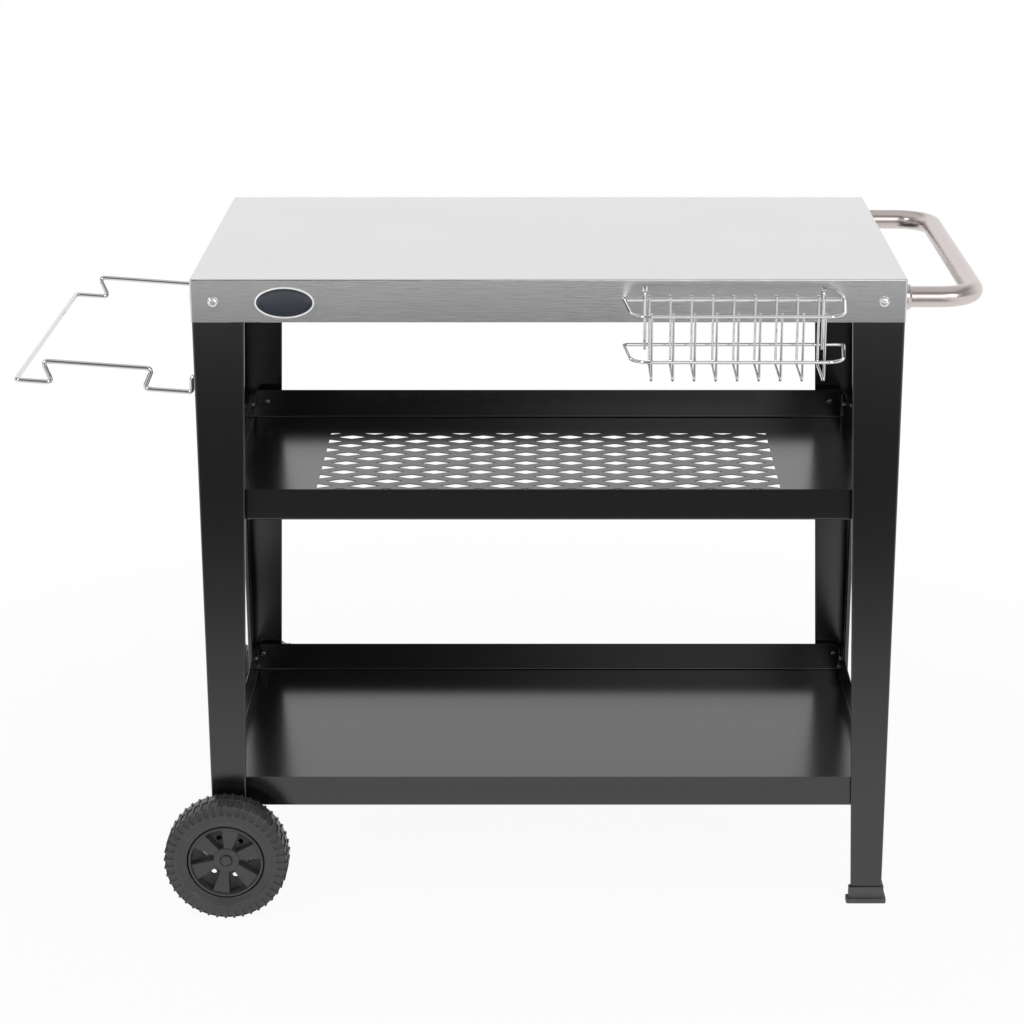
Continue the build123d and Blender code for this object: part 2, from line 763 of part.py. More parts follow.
# Foot caps on the right legs: a sleeve round the leg's angle, on a wider base
def build_foot(face):
    """The cap on a right leg's lower end. face is -1 at the front and 1 at the back."""
    corner_y = leg_front if face < 0 else leg_back
    sleeve_top = foot_base_height + foot_sleeve_height
    long_side = leg_width_at(sleeve_top) + 2 * foot_clearance
    short_side = leg_lip + 2 * foot_clearance
    outer_x = leg_right + foot_clearance
    outer_y = corner_y + face * foot_clearance

    def angle_outline(grow):
        """The outline of the leg's angle, grown by a distance on every side."""
        with Locations((outer_x - long_side / 2, outer_y - face * short_side / 2)):
            Rectangle(long_side + 2 * grow, short_side + 2 * grow)
        with Locations((outer_x - short_side / 2, outer_y - face * long_side / 2)):
            Rectangle(short_side + 2 * grow, long_side + 2 * grow)

    with BuildPart() as foot:
        with BuildSketch() as base_outline:
            angle_outline(foot_wall + foot_base_margin)
            fillet(base_outline.vertices(), foot_base_margin)
        extrude(amount=foot_base_height)
        fillet(foot.faces().sort_by(Axis.Z)[-1].edges(), foot_edge_round)
        with BuildSketch() as sleeve_outline:
            angle_outline(foot_wall)
            fillet(sleeve_outline.vertices(), foot_wall)
        extrude(amount=sleeve_top)
        with BuildSketch(Plane.XY.offset(foot_base_height)):
            angle_outline(0)
        extrude(amount=sleeve_top, mode=Mode.SUBTRACT)
    return foot


for foot_name, face in (("foot_front_right", -1), ("foot_rear_right", 1)):
    foot = build_foot(face)
    foot.part.label = foot_name
    export_step(foot.part, f"parts/{foot_name}.step")


# Bag holder: the arm's line from its tip inside the leg out to the cross wire, as distance out and height
def bag_arm_point(out, rise):
    """A point on the tilted arm, at a distance out from the leg and a rise above the arm's low run."""
    tilt_rise = (out - bag_riser_out) * math.tan(math.radians(bag_arm_tilt))
    return out, tilt_rise - bag_riser_drop + rise


bag_arm = [
    (-leg_sheet - rest_gap - bag_wire / 2, bag_tip_rise),
    (-bag_tip_reach, 0.0),
    (bag_riser_out, 0.0),
    bag_arm_point(bag_riser_out, 0.0),
    bag_arm_point(bag_jog_near, 0.0),
    bag_arm_point(bag_jog_near - bag_jog_undercut, bag_jog_rise),
    bag_arm_point(bag_jog_far + bag_jog_undercut, bag_jog_rise),
    bag_arm_point(bag_jog_far, 0.0),
    bag_arm_point(bag_arm_length, 0.0),
]
front_arm = [(leg_left - out, bag_arm_places[0], bag_slot_z + rise) for out, rise in bag_arm]
rear_arm = [(leg_left - out, bag_arm_places[1], bag_slot_z + rise) for out, rise in reversed(bag_arm)]
with BuildPart() as bag_holder:
    with BuildLine() as bag_path:
        FilletPolyline(*front_arm, *rear_arm, radius=bag_bend)
    with BuildSketch(Plane(origin=bag_path.wire() @ 0, z_dir=bag_path.wire() % 0)):
        Circle(bag_wire / 2)
    sweep(path=bag_path.wire())
bag_holder.part.label = "bag_holder"
export_step(bag_holder.part, "parts/bag_holder.step")


# Basket: two rings, ribs bent into a U across them, and two hooks at the back
ring_back_y = front - rest_gap - ring_wire / 2
ring_front_y = ring_back_y - ring_depth
upper_ring_z = table_height - upper_ring_drop
lower_ring_z = upper_ring_z - ring_spacing


def build_ring(ring_z):
    """A closed ring of wire, straight at the back and narrower at the front."""
    corners = [
        (basket_x - ring_back_width / 2, ring_back_y, ring_z),
        (basket_x - ring_front_width / 2, ring_front_y, ring_z),
        (basket_x + ring_front_width / 2, ring_front_y, ring_z),
        (basket_x + ring_back_width / 2, ring_back_y, ring_z),
    ]
    bends = [ring_back_bend, ring_front_bend, ring_front_bend, ring_back_bend]
    with BuildPart() as ring:
        with BuildLine() as ring_path:
            FilletPolyline(*corners, radius=bends, close=True)
        with BuildSketch(Plane(origin=ring_path.wire() @ 0, z_dir=ring_path.wire() % 0)):
            Circle(ring_wire / 2)
        sweep(path=ring_path.wire())
    return ring


for ring_name, ring_z in (("basket_upper_ring", upper_ring_z), ("basket_lower_ring", lower_ring_z)):
    ring = build_ring(ring_z)
    ring.part.label = ring_name
    export_step(ring.part, f"parts/{ring_name}.step")

rib_offset = ring_wire / 2 + rib_wire / 2 - weld_bite
rib_top = upper_ring_z + ring_wire / 2 + rib_stub
rib_bottom = lower_ring_z - rib_bottom_drop
rib_back = ring_back_y - rib_offset
rib_front = ring_front_y + rib_offset
with BuildPart() as rib:
    with BuildLine() as rib_path:
        FilletPolyline(
            (basket_x, rib_back, rib_top),
            (basket_x, rib_back, rib_bottom),
            (basket_x, rib_front, rib_bottom),
            (basket_x, rib_front, rib_top),
            radius=rib_bend,
        )
    with BuildSketch(Plane(origin=rib_path.wire() @ 0, z_dir=rib_path.wire() % 0)):
        Circle(rib_wire / 2)
    sweep(path=rib_path.wire())

with BuildPart() as basket_ribs:
    with GridLocations(rib_pitch, 0, rib_count, 1):
        add(rib.part)
basket_ribs.part.label = "basket_ribs"
export_step(basket_ribs.part, "parts/basket_ribs.step")

hook_y = ring_back_y - ring_wire / 2 - hook_wire / 2 + weld_bite
apron_inside = front + top_sheet
with BuildPart() as hook:
    with BuildLine() as hook_path:
        FilletPolyline(
            (basket_x, apron_inside + hook_tip_reach, hook_z + hook_tip_rise),
            (basket_x, apron_inside + hook_tip_straight, hook_z),
            (basket_x, hook_y, hook_z),
            (basket_x, hook_y, lower_ring_z - ring_wire / 2 - hook_tail),
            radius=hook_bend,
        )
    with BuildSketch(Plane(origin=hook_path.wire() @ 0, z_dir=hook_path.wire() % 0)):
        Circle(hook_wire / 2)
    sweep(path=hook_path.wire())

with BuildPart() as basket_hooks:
    with GridLocations(hook_spacing, 0, 2, 1):
        add(hook.part)
basket_hooks.part.label = "basket_hooks"
export_step(basket_hooks.part, "parts/basket_hooks.step")
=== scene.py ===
"""Looks of a rolling kitchen cart: the finishes of its CAD frame, and its finely modelled pieces.

Metres, in the frame of the CAD model: +X towards the handle, +Y towards the back, +Z up.
"""
import math

import bmesh
import bpy
from mathutils import Matrix, Vector


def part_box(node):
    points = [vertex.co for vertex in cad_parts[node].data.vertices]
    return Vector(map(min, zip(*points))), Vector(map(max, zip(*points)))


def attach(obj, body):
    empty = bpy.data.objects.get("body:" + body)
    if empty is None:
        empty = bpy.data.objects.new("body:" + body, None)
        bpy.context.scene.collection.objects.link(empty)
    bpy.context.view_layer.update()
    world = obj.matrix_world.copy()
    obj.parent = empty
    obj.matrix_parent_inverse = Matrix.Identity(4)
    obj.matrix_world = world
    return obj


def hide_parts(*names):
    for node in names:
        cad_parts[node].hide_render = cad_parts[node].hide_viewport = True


bl_info = {
    "name": "Kitchen Cart",
    "version": (1, 0, 0),
    "blender": (4, 5, 0),
    "location": "3D View > Sidebar > Cart",
    "description": "Finishes and fine pieces of a rolling kitchen cart around its CAD frame",
    "category": "Object",
}

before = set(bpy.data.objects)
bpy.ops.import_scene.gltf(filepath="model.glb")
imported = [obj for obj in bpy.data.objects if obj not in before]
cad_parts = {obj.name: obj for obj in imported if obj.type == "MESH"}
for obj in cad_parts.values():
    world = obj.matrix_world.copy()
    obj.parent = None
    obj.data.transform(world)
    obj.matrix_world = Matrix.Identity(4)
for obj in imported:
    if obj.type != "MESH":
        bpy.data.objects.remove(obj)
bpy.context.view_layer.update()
table_low, table_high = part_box("tabletop")

MM = 0.001
# Points closer together than this are the same point.
NEAR = 0.02 * MM
# A cutting tool runs past the face that it enters by this.
OVERRUN = 1.0 * MM
# Sockets of a Mix node, by number, for plain values and for colours.
FACTOR = 0
VALUE_A, VALUE_B, VALUE_OUT = 2, 3, 0
COLOUR_A, COLOUR_B, COLOUR_OUT = 6, 7, 2
# Pan-head screws: the head and the shank, and the length, width and depth of the cross recess.
APRON_SCREW = {
    "head": 12.5 * MM,
    "height": 4.0 * MM,
    "shank": 6.0 * MM,
    "long": 6.4 * MM,
    "wide": 1.5 * MM,
    "deep": 1.8 * MM,
}
TRAY_SCREW = {
    "head": 9.5 * MM,
    "height": 3.0 * MM,
    "shank": 5.0 * MM,
    "long": 5.0 * MM,
    "wide": 1.2 * MM,
    "deep": 1.4 * MM,
}
RINGS = ("basket_upper_ring", "basket_lower_ring")


def linear(code):
    """An sRGB hex colour as linear red, green and blue."""
    channels = [int(code[i:i + 2], 16) / 255 for i in (1, 3, 5)]
    return [c / 12.92 if c <= 0.04045 else ((c + 0.055) / 1.055) ** 2.4 for c in channels]


def length(label, about, millimetres):
    """A length that a user can set."""
    default = millimetres * MM
    return bpy.props.FloatProperty(name=label, description=about, default=default, unit="LENGTH", precision=4)


def angle(label, about, degrees):
    """An angle that a user can set."""
    default = math.radians(degrees)
    return bpy.props.FloatProperty(name=label, description=about, default=default, subtype="ANGLE")


def count(label, about, default):
    """A number of like features that a user can set."""
    return bpy.props.IntProperty(name=label, description=about, default=default, min=1)


def colour(label, about, code):
    """A colour that a user can set."""
    return bpy.props.FloatVectorProperty(
        name=label, description=about, default=linear(code), subtype="COLOR", min=0, max=1
    )


class CartSizes(bpy.types.PropertyGroup):
    """Sizes of the modelled pieces."""

    tyre_lugs: count("Tyre lugs", "Tread blocks in each row round a tyre", 44)
    rib_height: length("Rib height", "Height of the tread's thin ribs above its blocks", 1.7)
    groove_depth: length("Groove depth", "Depth of the grooves between the tread blocks", 1.6)
    tread_rib: length("Tread rib", "Width of the rib round the middle of the tread", 2.4)
    shoulder_width: length("Shoulder width", "Width of the tyre's shoulder", 3.2)
    shoulder_radius: length("Shoulder radius", "Radius at the outer edge of the tyre's shoulder", 71.8)
    slot_radius: length("Slot radius", "Radius at which the sidewall's slots end", 64.5)
    sidewall_line: length("Sidewall line", "Radius of the step in the sidewall", 58.0)
    rim_radius: length("Rim radius", "Radius of the hub's rim inside the tyre", 48.2)
    rim_lip: length("Rim lip", "Radius of the rim's lip, which leaves a gap to the tyre", 46.7)
    rim_gap_depth: length("Rim gap depth", "Depth of the gap between the rim's lip and the tyre", 6.5)
    rim_bore: length("Rim bore", "Radius inside the hub's rim", 43.8)
    rim_width: length("Rim width", "Width of the hub's rim", 40.0)
    spokes: count("Spokes", "Flat spokes in a hub", 6)
    spoke_turn: angle("Spoke turn", "Angle of the first spoke", 20)
    spoke_root: length("Spoke root", "Half width of a spoke where its edges cross the hub's axis", 1.8)
    spoke_flare: bpy.props.FloatProperty(
        name="Spoke flare", description="Growth of a spoke's half width with radius", default=0.21
    )
    spoke_depth: length("Spoke depth", "Depth of the spokes along the axle", 34.0)
    spoke_dish: length("Spoke dish", "Depth of the spokes' outer face at the boss", 4.0)
    dish_radius: length("Dish radius", "Radius at which the spokes' outer face starts to fall", 39.5)
    web_depth: length("Web depth", "Thickness of the web between the spokes", 4.0)
    web_hole: length("Web hole", "Diameter of the holes in the web", 7.0)
    web_circle: length("Web circle", "Diameter of the circle through the web's holes", 54.0)
    boss_diameter: length("Boss diameter", "Diameter of the hub's boss", 32.4)
    boss_inner: length("Boss inside", "Reach of the boss towards the cart", 23.0)
    boss_outer: length("Boss outside", "Reach of the boss away from the cart", 14.0)
    cap_recess: length("Cap recess", "Diameter of the recess for the axle's cap", 15.5)
    cap_recess_depth: length("Cap recess depth", "Depth of the recess for the axle's cap", 3.0)
    cap_length: length("Cap length", "Length of the axle's caps", 5.0)
    foot_base: length("Foot base", "Height of a foot's wider base", 6.0)
    foot_margin: length("Foot margin", "Distance that a foot's base stands out past its sleeve", 3.0)
    foot_wall: length("Foot wall", "Wall of a foot's sleeve", 2.4)
    foot_slot: length("Foot slot", "Width of a foot's slot for the leg", 5.4)
    badge_rim: length("Badge rim", "Width of the badge's rim", 2.0)
    handle_tube: length("Handle tube", "Diameter of the handle's tube", 25.0)
    handle_bend: length("Handle bend", "Radius of the handle's bends, at the middle of the tube", 45.0)
    bag_wire: length("Bag wire", "Diameter of the bag holder's wire", 6.0)
    bag_bend: length("Bag bend", "Radius of the bag holder's bends", 4.5)
    bag_slot_drop: length("Bag slot drop", "Depth of the leg's slot below the top", 125.0)
    bag_tip_gap: length("Bag tip gap", "Distance of the tip from the leg's outer face", 1.5)
    bag_tip_reach: length("Bag tip reach", "Distance of the tip's bend from the leg's outer face", 12.0)
    bag_tip_rise: length("Bag tip rise", "Rise of the tip inside the leg", 20.0)
    bag_riser_out: length("Bag riser", "Distance of the bag holder's riser from the leg", 6.0)
    bag_riser_drop: length("Bag riser drop", "Drop from the leg's slot to the arm", 19.5)
    bag_tilt: angle("Bag tilt", "Rise of the arms away from the leg", 4.2)
    bag_jog_near: length("Near jog", "Distance of the arm's near step from the leg", 63.8)
    bag_jog_far: length("Far jog", "Distance of the arm's far step from the leg", 174.0)
    bag_jog_rise: length("Jog rise", "Height of the raised run of the arm", 26.0)
    bag_jog_undercut: length("Jog undercut", "Overhang of the raised run past each step", 10.8)
    ring_wire: length("Ring wire", "Diameter of the basket's rings", 4.0)
    ring_back_width: length("Ring back", "Width of the basket's rings at the back", 262.0)
    ring_front_width: length("Ring front", "Width of the basket's rings at the front", 246.0)
    ring_back_bend: length("Ring back bend", "Radius of the rings' back corners", 5.5)
    ring_front_bend: length("Ring front bend", "Radius of the rings' front corners", 24.0)
    rib_wire: length("Rib wire", "Diameter of the basket's ribs", 3.0)
    rib_bend: length("Rib bend", "Radius of the ribs' lower corners", 8.0)
    rib_count: count("Ribs", "Ribs in the basket", 9)
    rib_pitch: length("Rib pitch", "Distance between the basket's ribs", 25.1)
    hook_wire: length("Hook wire", "Diameter of the basket's hooks", 4.0)
    hook_bend: length("Hook bend", "Radius of the hooks' bends", 4.0)
    hook_spacing: length("Hook spacing", "Distance between the basket's hooks", 211.4)
    hook_drop: length("Hook drop", "Depth of the hooks' run through the apron below the top", 12.5)
    hook_straight: length("Hook run", "Length of a hook's run inside the apron", 3.0)
    hook_reach: length("Hook reach", "Reach of a hook's tip inside the apron", 8.0)
    hook_rise: length("Hook rise", "Rise of a hook's tip", 3.5)
    top_sheet: length("Top sheet", "Thickness of the top's sheet", 1.0)


class CartColours(bpy.types.PropertyGroup):
    """Colours of the finishes."""

    stainless: colour("Stainless", "Brushed sheet of the top", "#D8D8D8")
    tube: colour("Tube", "Brushed stainless tube of the handle", "#D3C9C6")
    powder: colour("Powder coat", "Black powder coat of the legs and trays", "#0B0B0C")
    wheel: colour("Wheel", "Moulded plastic of the wheels", "#3D3D3E")
    foot: colour("Foot", "Moulded plastic of the feet and bushes", "#4C4C4E")
    chrome: colour("Chrome", "Chrome plate of the wires", "#DEDEE0")
    black_screw: colour("Black screw", "Blackened screws of the trays", "#757577")
    zinc: colour("Zinc", "Bright zinc plate of the screws", "#F8F8F6")
    axle: colour("Axle", "Zinc-plated axle rod", "#A9AAAB")
    badge: colour("Badge", "Blank plate of the badge", "#2E323B")
    badge_rim: colour("Badge rim", "White lacquer of the badge's rim", "#EDEDED")


def settle():
    """Leaves edit mode and deselects everything."""
    if bpy.context.mode != "OBJECT":
        bpy.ops.object.mode_set(mode="OBJECT")
    bpy.ops.object.select_all(action="DESELECT")


def take(*objects):
    """Selects only these objects. The first becomes the active one."""
    settle()
    for obj in objects:
        obj.select_set(True)
    bpy.context.view_layer.objects.active = objects[0]


def edit(obj):
    """Goes into edit mode on one object, with all of its mesh selected."""
    take(obj)
    bpy.ops.object.mode_set(mode="EDIT")
    bpy.ops.mesh.select_mode(type="VERT")
    bpy.ops.mesh.select_all(action="SELECT")


def pick(kind, test):
    """In edit mode, selects the vertices, edges or faces that pass a test."""
    bpy.ops.mesh.select_mode(type=kind)
    bpy.ops.mesh.select_all(action="DESELECT")
    data = bpy.context.edit_object.data
    mesh = bmesh.from_edit_mesh(data)
    parts = {"VERT": mesh.verts, "EDGE": mesh.edges, "FACE": mesh.faces}[kind]
    for part in parts:
        if test(part):
            part.select_set(True)
    mesh.select_flush_mode()
    bmesh.update_edit_mesh(data)


def middle(part):
    """The middle of an edge or a face."""
    points = [vert.co for vert in part.verts]
    return sum(points, Vector()) / len(points)


def looks_along(face, direction):
    """Whether a face points along a direction."""
    return face.normal.dot(Vector(direction)) > 0.9


def from_axle(point):
    """A point's distance from the Y axis."""
    return math.hypot(point.x, point.z)


def slice_across(*places):
    """In edit mode, cuts new edges round the mesh at places along the Y axis."""
    for y in places:
        bpy.ops.mesh.select_all(action="SELECT")
        bpy.ops.mesh.bisect(plane_co=(0, y, 0), plane_no=(0, 1, 0))


def widen(ratio):
    """In edit mode, moves what is selected away from the Y axis."""
    bpy.ops.transform.resize(value=(ratio, 1, ratio), center_override=(0, 0, 0))


def face_outwards():
    """In edit mode, turns all faces outwards."""
    bpy.ops.mesh.select_all(action="SELECT")
    bpy.ops.mesh.normals_make_consistent(inside=False)


def settle_in_mesh():
    """Moves the active object's place, turn and size into its mesh."""
    bpy.ops.object.transform_apply(location=True, rotation=True, scale=True)
    return bpy.context.object


def modify(obj, kind, **settings):
    """Adds a modifier, sets it and applies it."""
    take(obj)
    modifier = obj.modifiers.new(kind.title(), kind)
    for name, value in settings.items():
        setattr(modifier, name, value)
    bpy.ops.object.modifier_apply(modifier=modifier.name)


def round_edges(obj, width, segments=2, sharper_than=35):
    """Bevels the edges that are sharper than an angle in degrees."""
    modify(
        obj,
        "BEVEL",
        width=width,
        segments=segments,
        limit_method="ANGLE",
        angle_limit=math.radians(sharper_than),
        harden_normals=False,
    )


def join(*objects):
    """Joins objects into the first of them."""
    take(*objects)
    if len(objects) > 1:
        bpy.ops.object.join()
    return objects[0]


def cut(obj, *tools):
    """Cuts tools out of a piece and deletes them."""
    tool = join(*tools)
    modify(obj, "BOOLEAN", operation="DIFFERENCE", solver="EXACT", object=tool)
    bpy.data.objects.remove(tool)


def copy_of(obj, matrix):
    """A copy with its own mesh, moved by a matrix."""
    twin = obj.copy()
    twin.data = obj.data.copy()
    twin.data.transform(matrix)
    bpy.context.collection.objects.link(twin)
    return twin


def row_of(obj, shifts):
    """Copies of a piece at distances along X, joined. The first one is deleted."""
    copies = [copy_of(obj, Matrix.Translation((shift, 0, 0))) for shift in shifts]
    bpy.data.objects.remove(obj)
    return join(*copies)


def rod(radius, depth, centre=(0, 0, 0), sides=96, ends="NGON"):
    """A cylinder along Y."""
    settle()
    bpy.ops.mesh.primitive_cylinder_add(
        vertices=sides, radius=radius, depth=depth, end_fill_type=ends, rotation=(math.pi / 2, 0, 0)
    )
    obj = settle_in_mesh()
    obj.data.transform(Matrix.Translation(centre))
    return obj


def block(low, high):
    """A box between two corners."""
    settle()
    low, high = Vector(low), Vector(high)
    bpy.ops.mesh.primitive_cube_add(size=1, location=(low + high) / 2)
    bpy.ops.transform.resize(value=high - low)
    return settle_in_mesh()


def bent_wire(corners, bends, thickness, closed=False, steps=8, roundness=4):
    """A wire: a line drawn from corner to corner, its corners rounded, given a round section."""
    settle()
    bpy.ops.mesh.primitive_plane_add(size=thickness)
    wire = bpy.context.object
    corners = [Vector(corner) for corner in corners]
    edit(wire)
    bpy.ops.mesh.merge(type="CENTER")
    bpy.ops.transform.translate(value=corners[0])
    for before, after in zip(corners, corners[1:]):
        bpy.ops.mesh.extrude_region_move(TRANSFORM_OT_translate={"value": after - before})
    bent = range(1, len(corners) - 1)
    if closed:
        bent = range(len(corners))
        ends = (corners[0], corners[-1])
        pick("VERT", lambda vert: min((vert.co - end).length for end in ends) < NEAR)
        bpy.ops.mesh.edge_face_add()
    for index, bend in zip(bent, bends):
        corner = corners[index]
        arriving = (corner - corners[index - 1]).normalized()
        leaving = (corners[(index + 1) % len(corners)] - corner).normalized()
        pick("VERT", lambda vert: (vert.co - corner).length < NEAR)
        tangent = bend * math.tan(arriving.angle(leaving) / 2)
        bpy.ops.mesh.bevel(offset_type="OFFSET", offset=tangent, segments=steps, affect="VERTICES")
    take(wire)
    bpy.ops.object.convert(target="CURVE")
    line = bpy.context.object.data
    line.bevel_depth = thickness / 2
    line.bevel_resolution = roundness
    line.use_fill_caps = not closed
    bpy.ops.object.convert(target="MESH")
    wire = bpy.context.object
    if not closed:
        round_edges(wire, thickness * 0.12, sharper_than=60)
    return wire


def bead(place, radius, stretch):
    """A small lump of weld."""
    settle()
    bpy.ops.mesh.primitive_ico_sphere_add(subdivisions=2, radius=radius, location=place)
    bpy.ops.transform.resize(value=stretch, center_override=place)
    return settle_in_mesh()


def add_node(tree, kind, settings, inputs):
    """Adds a shader node with its settings. Its inputs, by name or number, are set to values or linked."""
    node = tree.nodes.new(kind)
    for name, value in settings.items():
        setattr(node, name, value)
    for key, value in inputs.items():
        socket = node.inputs[key]
        if isinstance(value, bpy.types.NodeSocket):
            tree.links.new(value, socket)
        else:
            socket.default_value = value
    return node


def new_material(name):
    """An empty node material, with its tree and Object coordinates."""
    material = bpy.data.materials.new(name)
    material.use_nodes = True
    tree = material.node_tree
    tree.nodes.clear()
    return material, tree, add_node(tree, "ShaderNodeTexCoord", {}, {}).outputs["Object"]


def shade(value, factor):
    """A colour made darker or lighter, with its alpha."""
    return (*(min(1.0, channel * factor) for channel in value), 1)


def brushed_steel(name, base, roughness, along, grain_length, grain_width, groove):
    """Stainless steel brushed along one axis: long fine scratches that smear its reflections across them."""
    material, tree, place = new_material(name)
    # The real scratches are about 0.1 mm wide. They are drawn wider so that they show in the render.
    stretch = [1 / grain_width] * 3
    stretch["XYZ".index(along)] = 1 / grain_length
    mapping = add_node(tree, "ShaderNodeMapping", {}, {"Vector": place, "Scale": stretch})
    grain = {"Vector": mapping.outputs["Vector"], "Scale": 1.0, "Detail": 4.0, "Roughness": 0.6}
    grain = add_node(tree, "ShaderNodeTexNoise", {}, grain).outputs["Fac"]
    # Clouds about 111 mm across.
    cloud = {"Vector": place, "Scale": 1 / (111 * MM), "Detail": 2.0}
    cloud = add_node(tree, "ShaderNodeTexNoise", {}, cloud).outputs["Fac"]
    rough = {"Value": grain, "To Min": roughness - 0.06, "To Max": roughness + 0.06}
    rough = add_node(tree, "ShaderNodeMapRange", {}, rough).outputs["Result"]
    both = add_node(tree, "ShaderNodeMath", {"operation": "ADD"}, {0: grain, 1: cloud}).outputs[0]
    half = add_node(tree, "ShaderNodeMapRange", {}, {"Value": both, "From Max": 2.0}).outputs["Result"]
    tint = {FACTOR: half, COLOUR_A: shade(base, 0.93), COLOUR_B: shade(base, 1.06)}
    tint = add_node(tree, "ShaderNodeMix", {"data_type": "RGBA"}, tint).outputs[COLOUR_OUT]
    bump = {"Height": grain, "Strength": groove, "Distance": 0.2 * MM}
    bump = add_node(tree, "ShaderNodeBump", {}, bump).outputs["Normal"]
    look = {"Base Color": tint, "Metallic": 1.0, "Roughness": rough, "Normal": bump}
    shader = add_node(tree, "ShaderNodeBsdfPrincipled", {}, look)
    add_node(tree, "ShaderNodeOutputMaterial", {}, {"Surface": shader.outputs["BSDF"]})
    return material


def powder_coat(name, base):
    """Black polyester powder coat, baked on: a satin skin with a fine orange peel."""
    material, tree, place = new_material(name)
    # Orange peel about 1.54 mm across, and the powder's grit, drawn 0.833 mm wide so that it shows.
    peel = {"Vector": place, "Scale": 1 / (1.54 * MM), "Detail": 1.0}
    peel = add_node(tree, "ShaderNodeTexNoise", {}, peel).outputs["Fac"]
    grit = {"Vector": place, "Scale": 1 / (0.833 * MM), "Detail": 2.0}
    grit = add_node(tree, "ShaderNodeTexNoise", {}, grit).outputs["Fac"]
    tint = {FACTOR: grit, COLOUR_A: shade(base, 0.7), COLOUR_B: shade(base, 1.4)}
    tint = add_node(tree, "ShaderNodeMix", {"data_type": "RGBA"}, tint).outputs[COLOUR_OUT]
    rough = {"Value": grit, "To Min": 0.15, "To Max": 0.25}
    rough = add_node(tree, "ShaderNodeMapRange", {}, rough).outputs["Result"]
    bump = {"Height": peel, "Strength": 0.12, "Distance": 0.3 * MM}
    bump = add_node(tree, "ShaderNodeBump", {}, bump).outputs["Normal"]
    look = {"Base Color": tint, "Roughness": rough, "IOR": 1.7, "Normal": bump}
    shader = add_node(tree, "ShaderNodeBsdfPrincipled", {}, look)
    add_node(tree, "ShaderNodeOutputMaterial", {}, {"Surface": shader.outputs["BSDF"]})
    return material


def moulded_plastic(name, base, roughness):
    """Polypropylene from a spark-eroded mould: matte, with a fine even grain."""
    material, tree, place = new_material(name)
    # Mould grain about 1.11 mm across, and slow changes of shade, about 28.6 mm, from the plastic's flow.
    grain = {"Vector": place, "Scale": 1 / (1.11 * MM), "Detail": 2.0}
    grain = add_node(tree, "ShaderNodeTexNoise", {}, grain).outputs["Fac"]
    flow = {"Vector": place, "Scale": 1 / (28.6 * MM), "Detail": 2.0}
    flow = add_node(tree, "ShaderNodeTexNoise", {}, flow).outputs["Fac"]
    tint = {FACTOR: flow, COLOUR_A: shade(base, 0.82), COLOUR_B: shade(base, 1.18)}
    tint = add_node(tree, "ShaderNodeMix", {"data_type": "RGBA"}, tint).outputs[COLOUR_OUT]
    rough = {"Value": grain, "To Min": roughness - 0.08, "To Max": roughness + 0.08}
    rough = add_node(tree, "ShaderNodeMapRange", {}, rough).outputs["Result"]
    bump = {"Height": grain, "Strength": 0.2, "Distance": 0.2 * MM}
    bump = add_node(tree, "ShaderNodeBump", {}, bump).outputs["Normal"]
    look = {"Base Color": tint, "Roughness": rough, "IOR": 1.49, "Normal": bump}
    shader = add_node(tree, "ShaderNodeBsdfPrincipled", {}, look)
    add_node(tree, "ShaderNodeOutputMaterial", {}, {"Surface": shader.outputs["BSDF"]})
    return material


def plated_metal(name, base, smoothest, roughest):
    """Chrome or zinc plate on steel: bright, with slight clouding."""
    material, tree, place = new_material(name)
    # Clouds in the plate about 20 mm across.
    cloud = {"Vector": place, "Scale": 1 / (20 * MM), "Detail": 3.0}
    cloud = add_node(tree, "ShaderNodeTexNoise", {}, cloud).outputs["Fac"]
    tint = {FACTOR: cloud, COLOUR_A: shade(base, 0.9), COLOUR_B: shade(base, 1.05)}
    tint = add_node(tree, "ShaderNodeMix", {"data_type": "RGBA"}, tint).outputs[COLOUR_OUT]
    rough = {"Value": cloud, "To Min": smoothest, "To Max": roughest}
    rough = add_node(tree, "ShaderNodeMapRange", {}, rough).outputs["Result"]
    look = {"Base Color": tint, "Metallic": 1.0, "Roughness": rough}
    shader = add_node(tree, "ShaderNodeBsdfPrincipled", {}, look)
    add_node(tree, "ShaderNodeOutputMaterial", {}, {"Surface": shader.outputs["BSDF"]})
    return material


def glossy_resin(name, base):
    """Domed clear resin over a plain colour: deep colour under a clear gloss."""
    material, tree, place = new_material(name)
    # Slow change of shade across the plate, about 62.5 mm.
    flow = {"Vector": place, "Scale": 1 / (62.5 * MM), "Detail": 1.0}
    flow = add_node(tree, "ShaderNodeTexNoise", {}, flow).outputs["Fac"]
    tint = {FACTOR: flow, COLOUR_A: shade(base, 0.8), COLOUR_B: shade(base, 1.2)}
    tint = add_node(tree, "ShaderNodeMix", {"data_type": "RGBA"}, tint).outputs[COLOUR_OUT]
    look = {"Base Color": tint, "Roughness": 0.25, "IOR": 1.5, "Coat Weight": 0.6, "Coat Roughness": 0.08}
    shader = add_node(tree, "ShaderNodeBsdfPrincipled", {}, look)
    add_node(tree, "ShaderNodeOutputMaterial", {}, {"Surface": shader.outputs["BSDF"]})
    return material


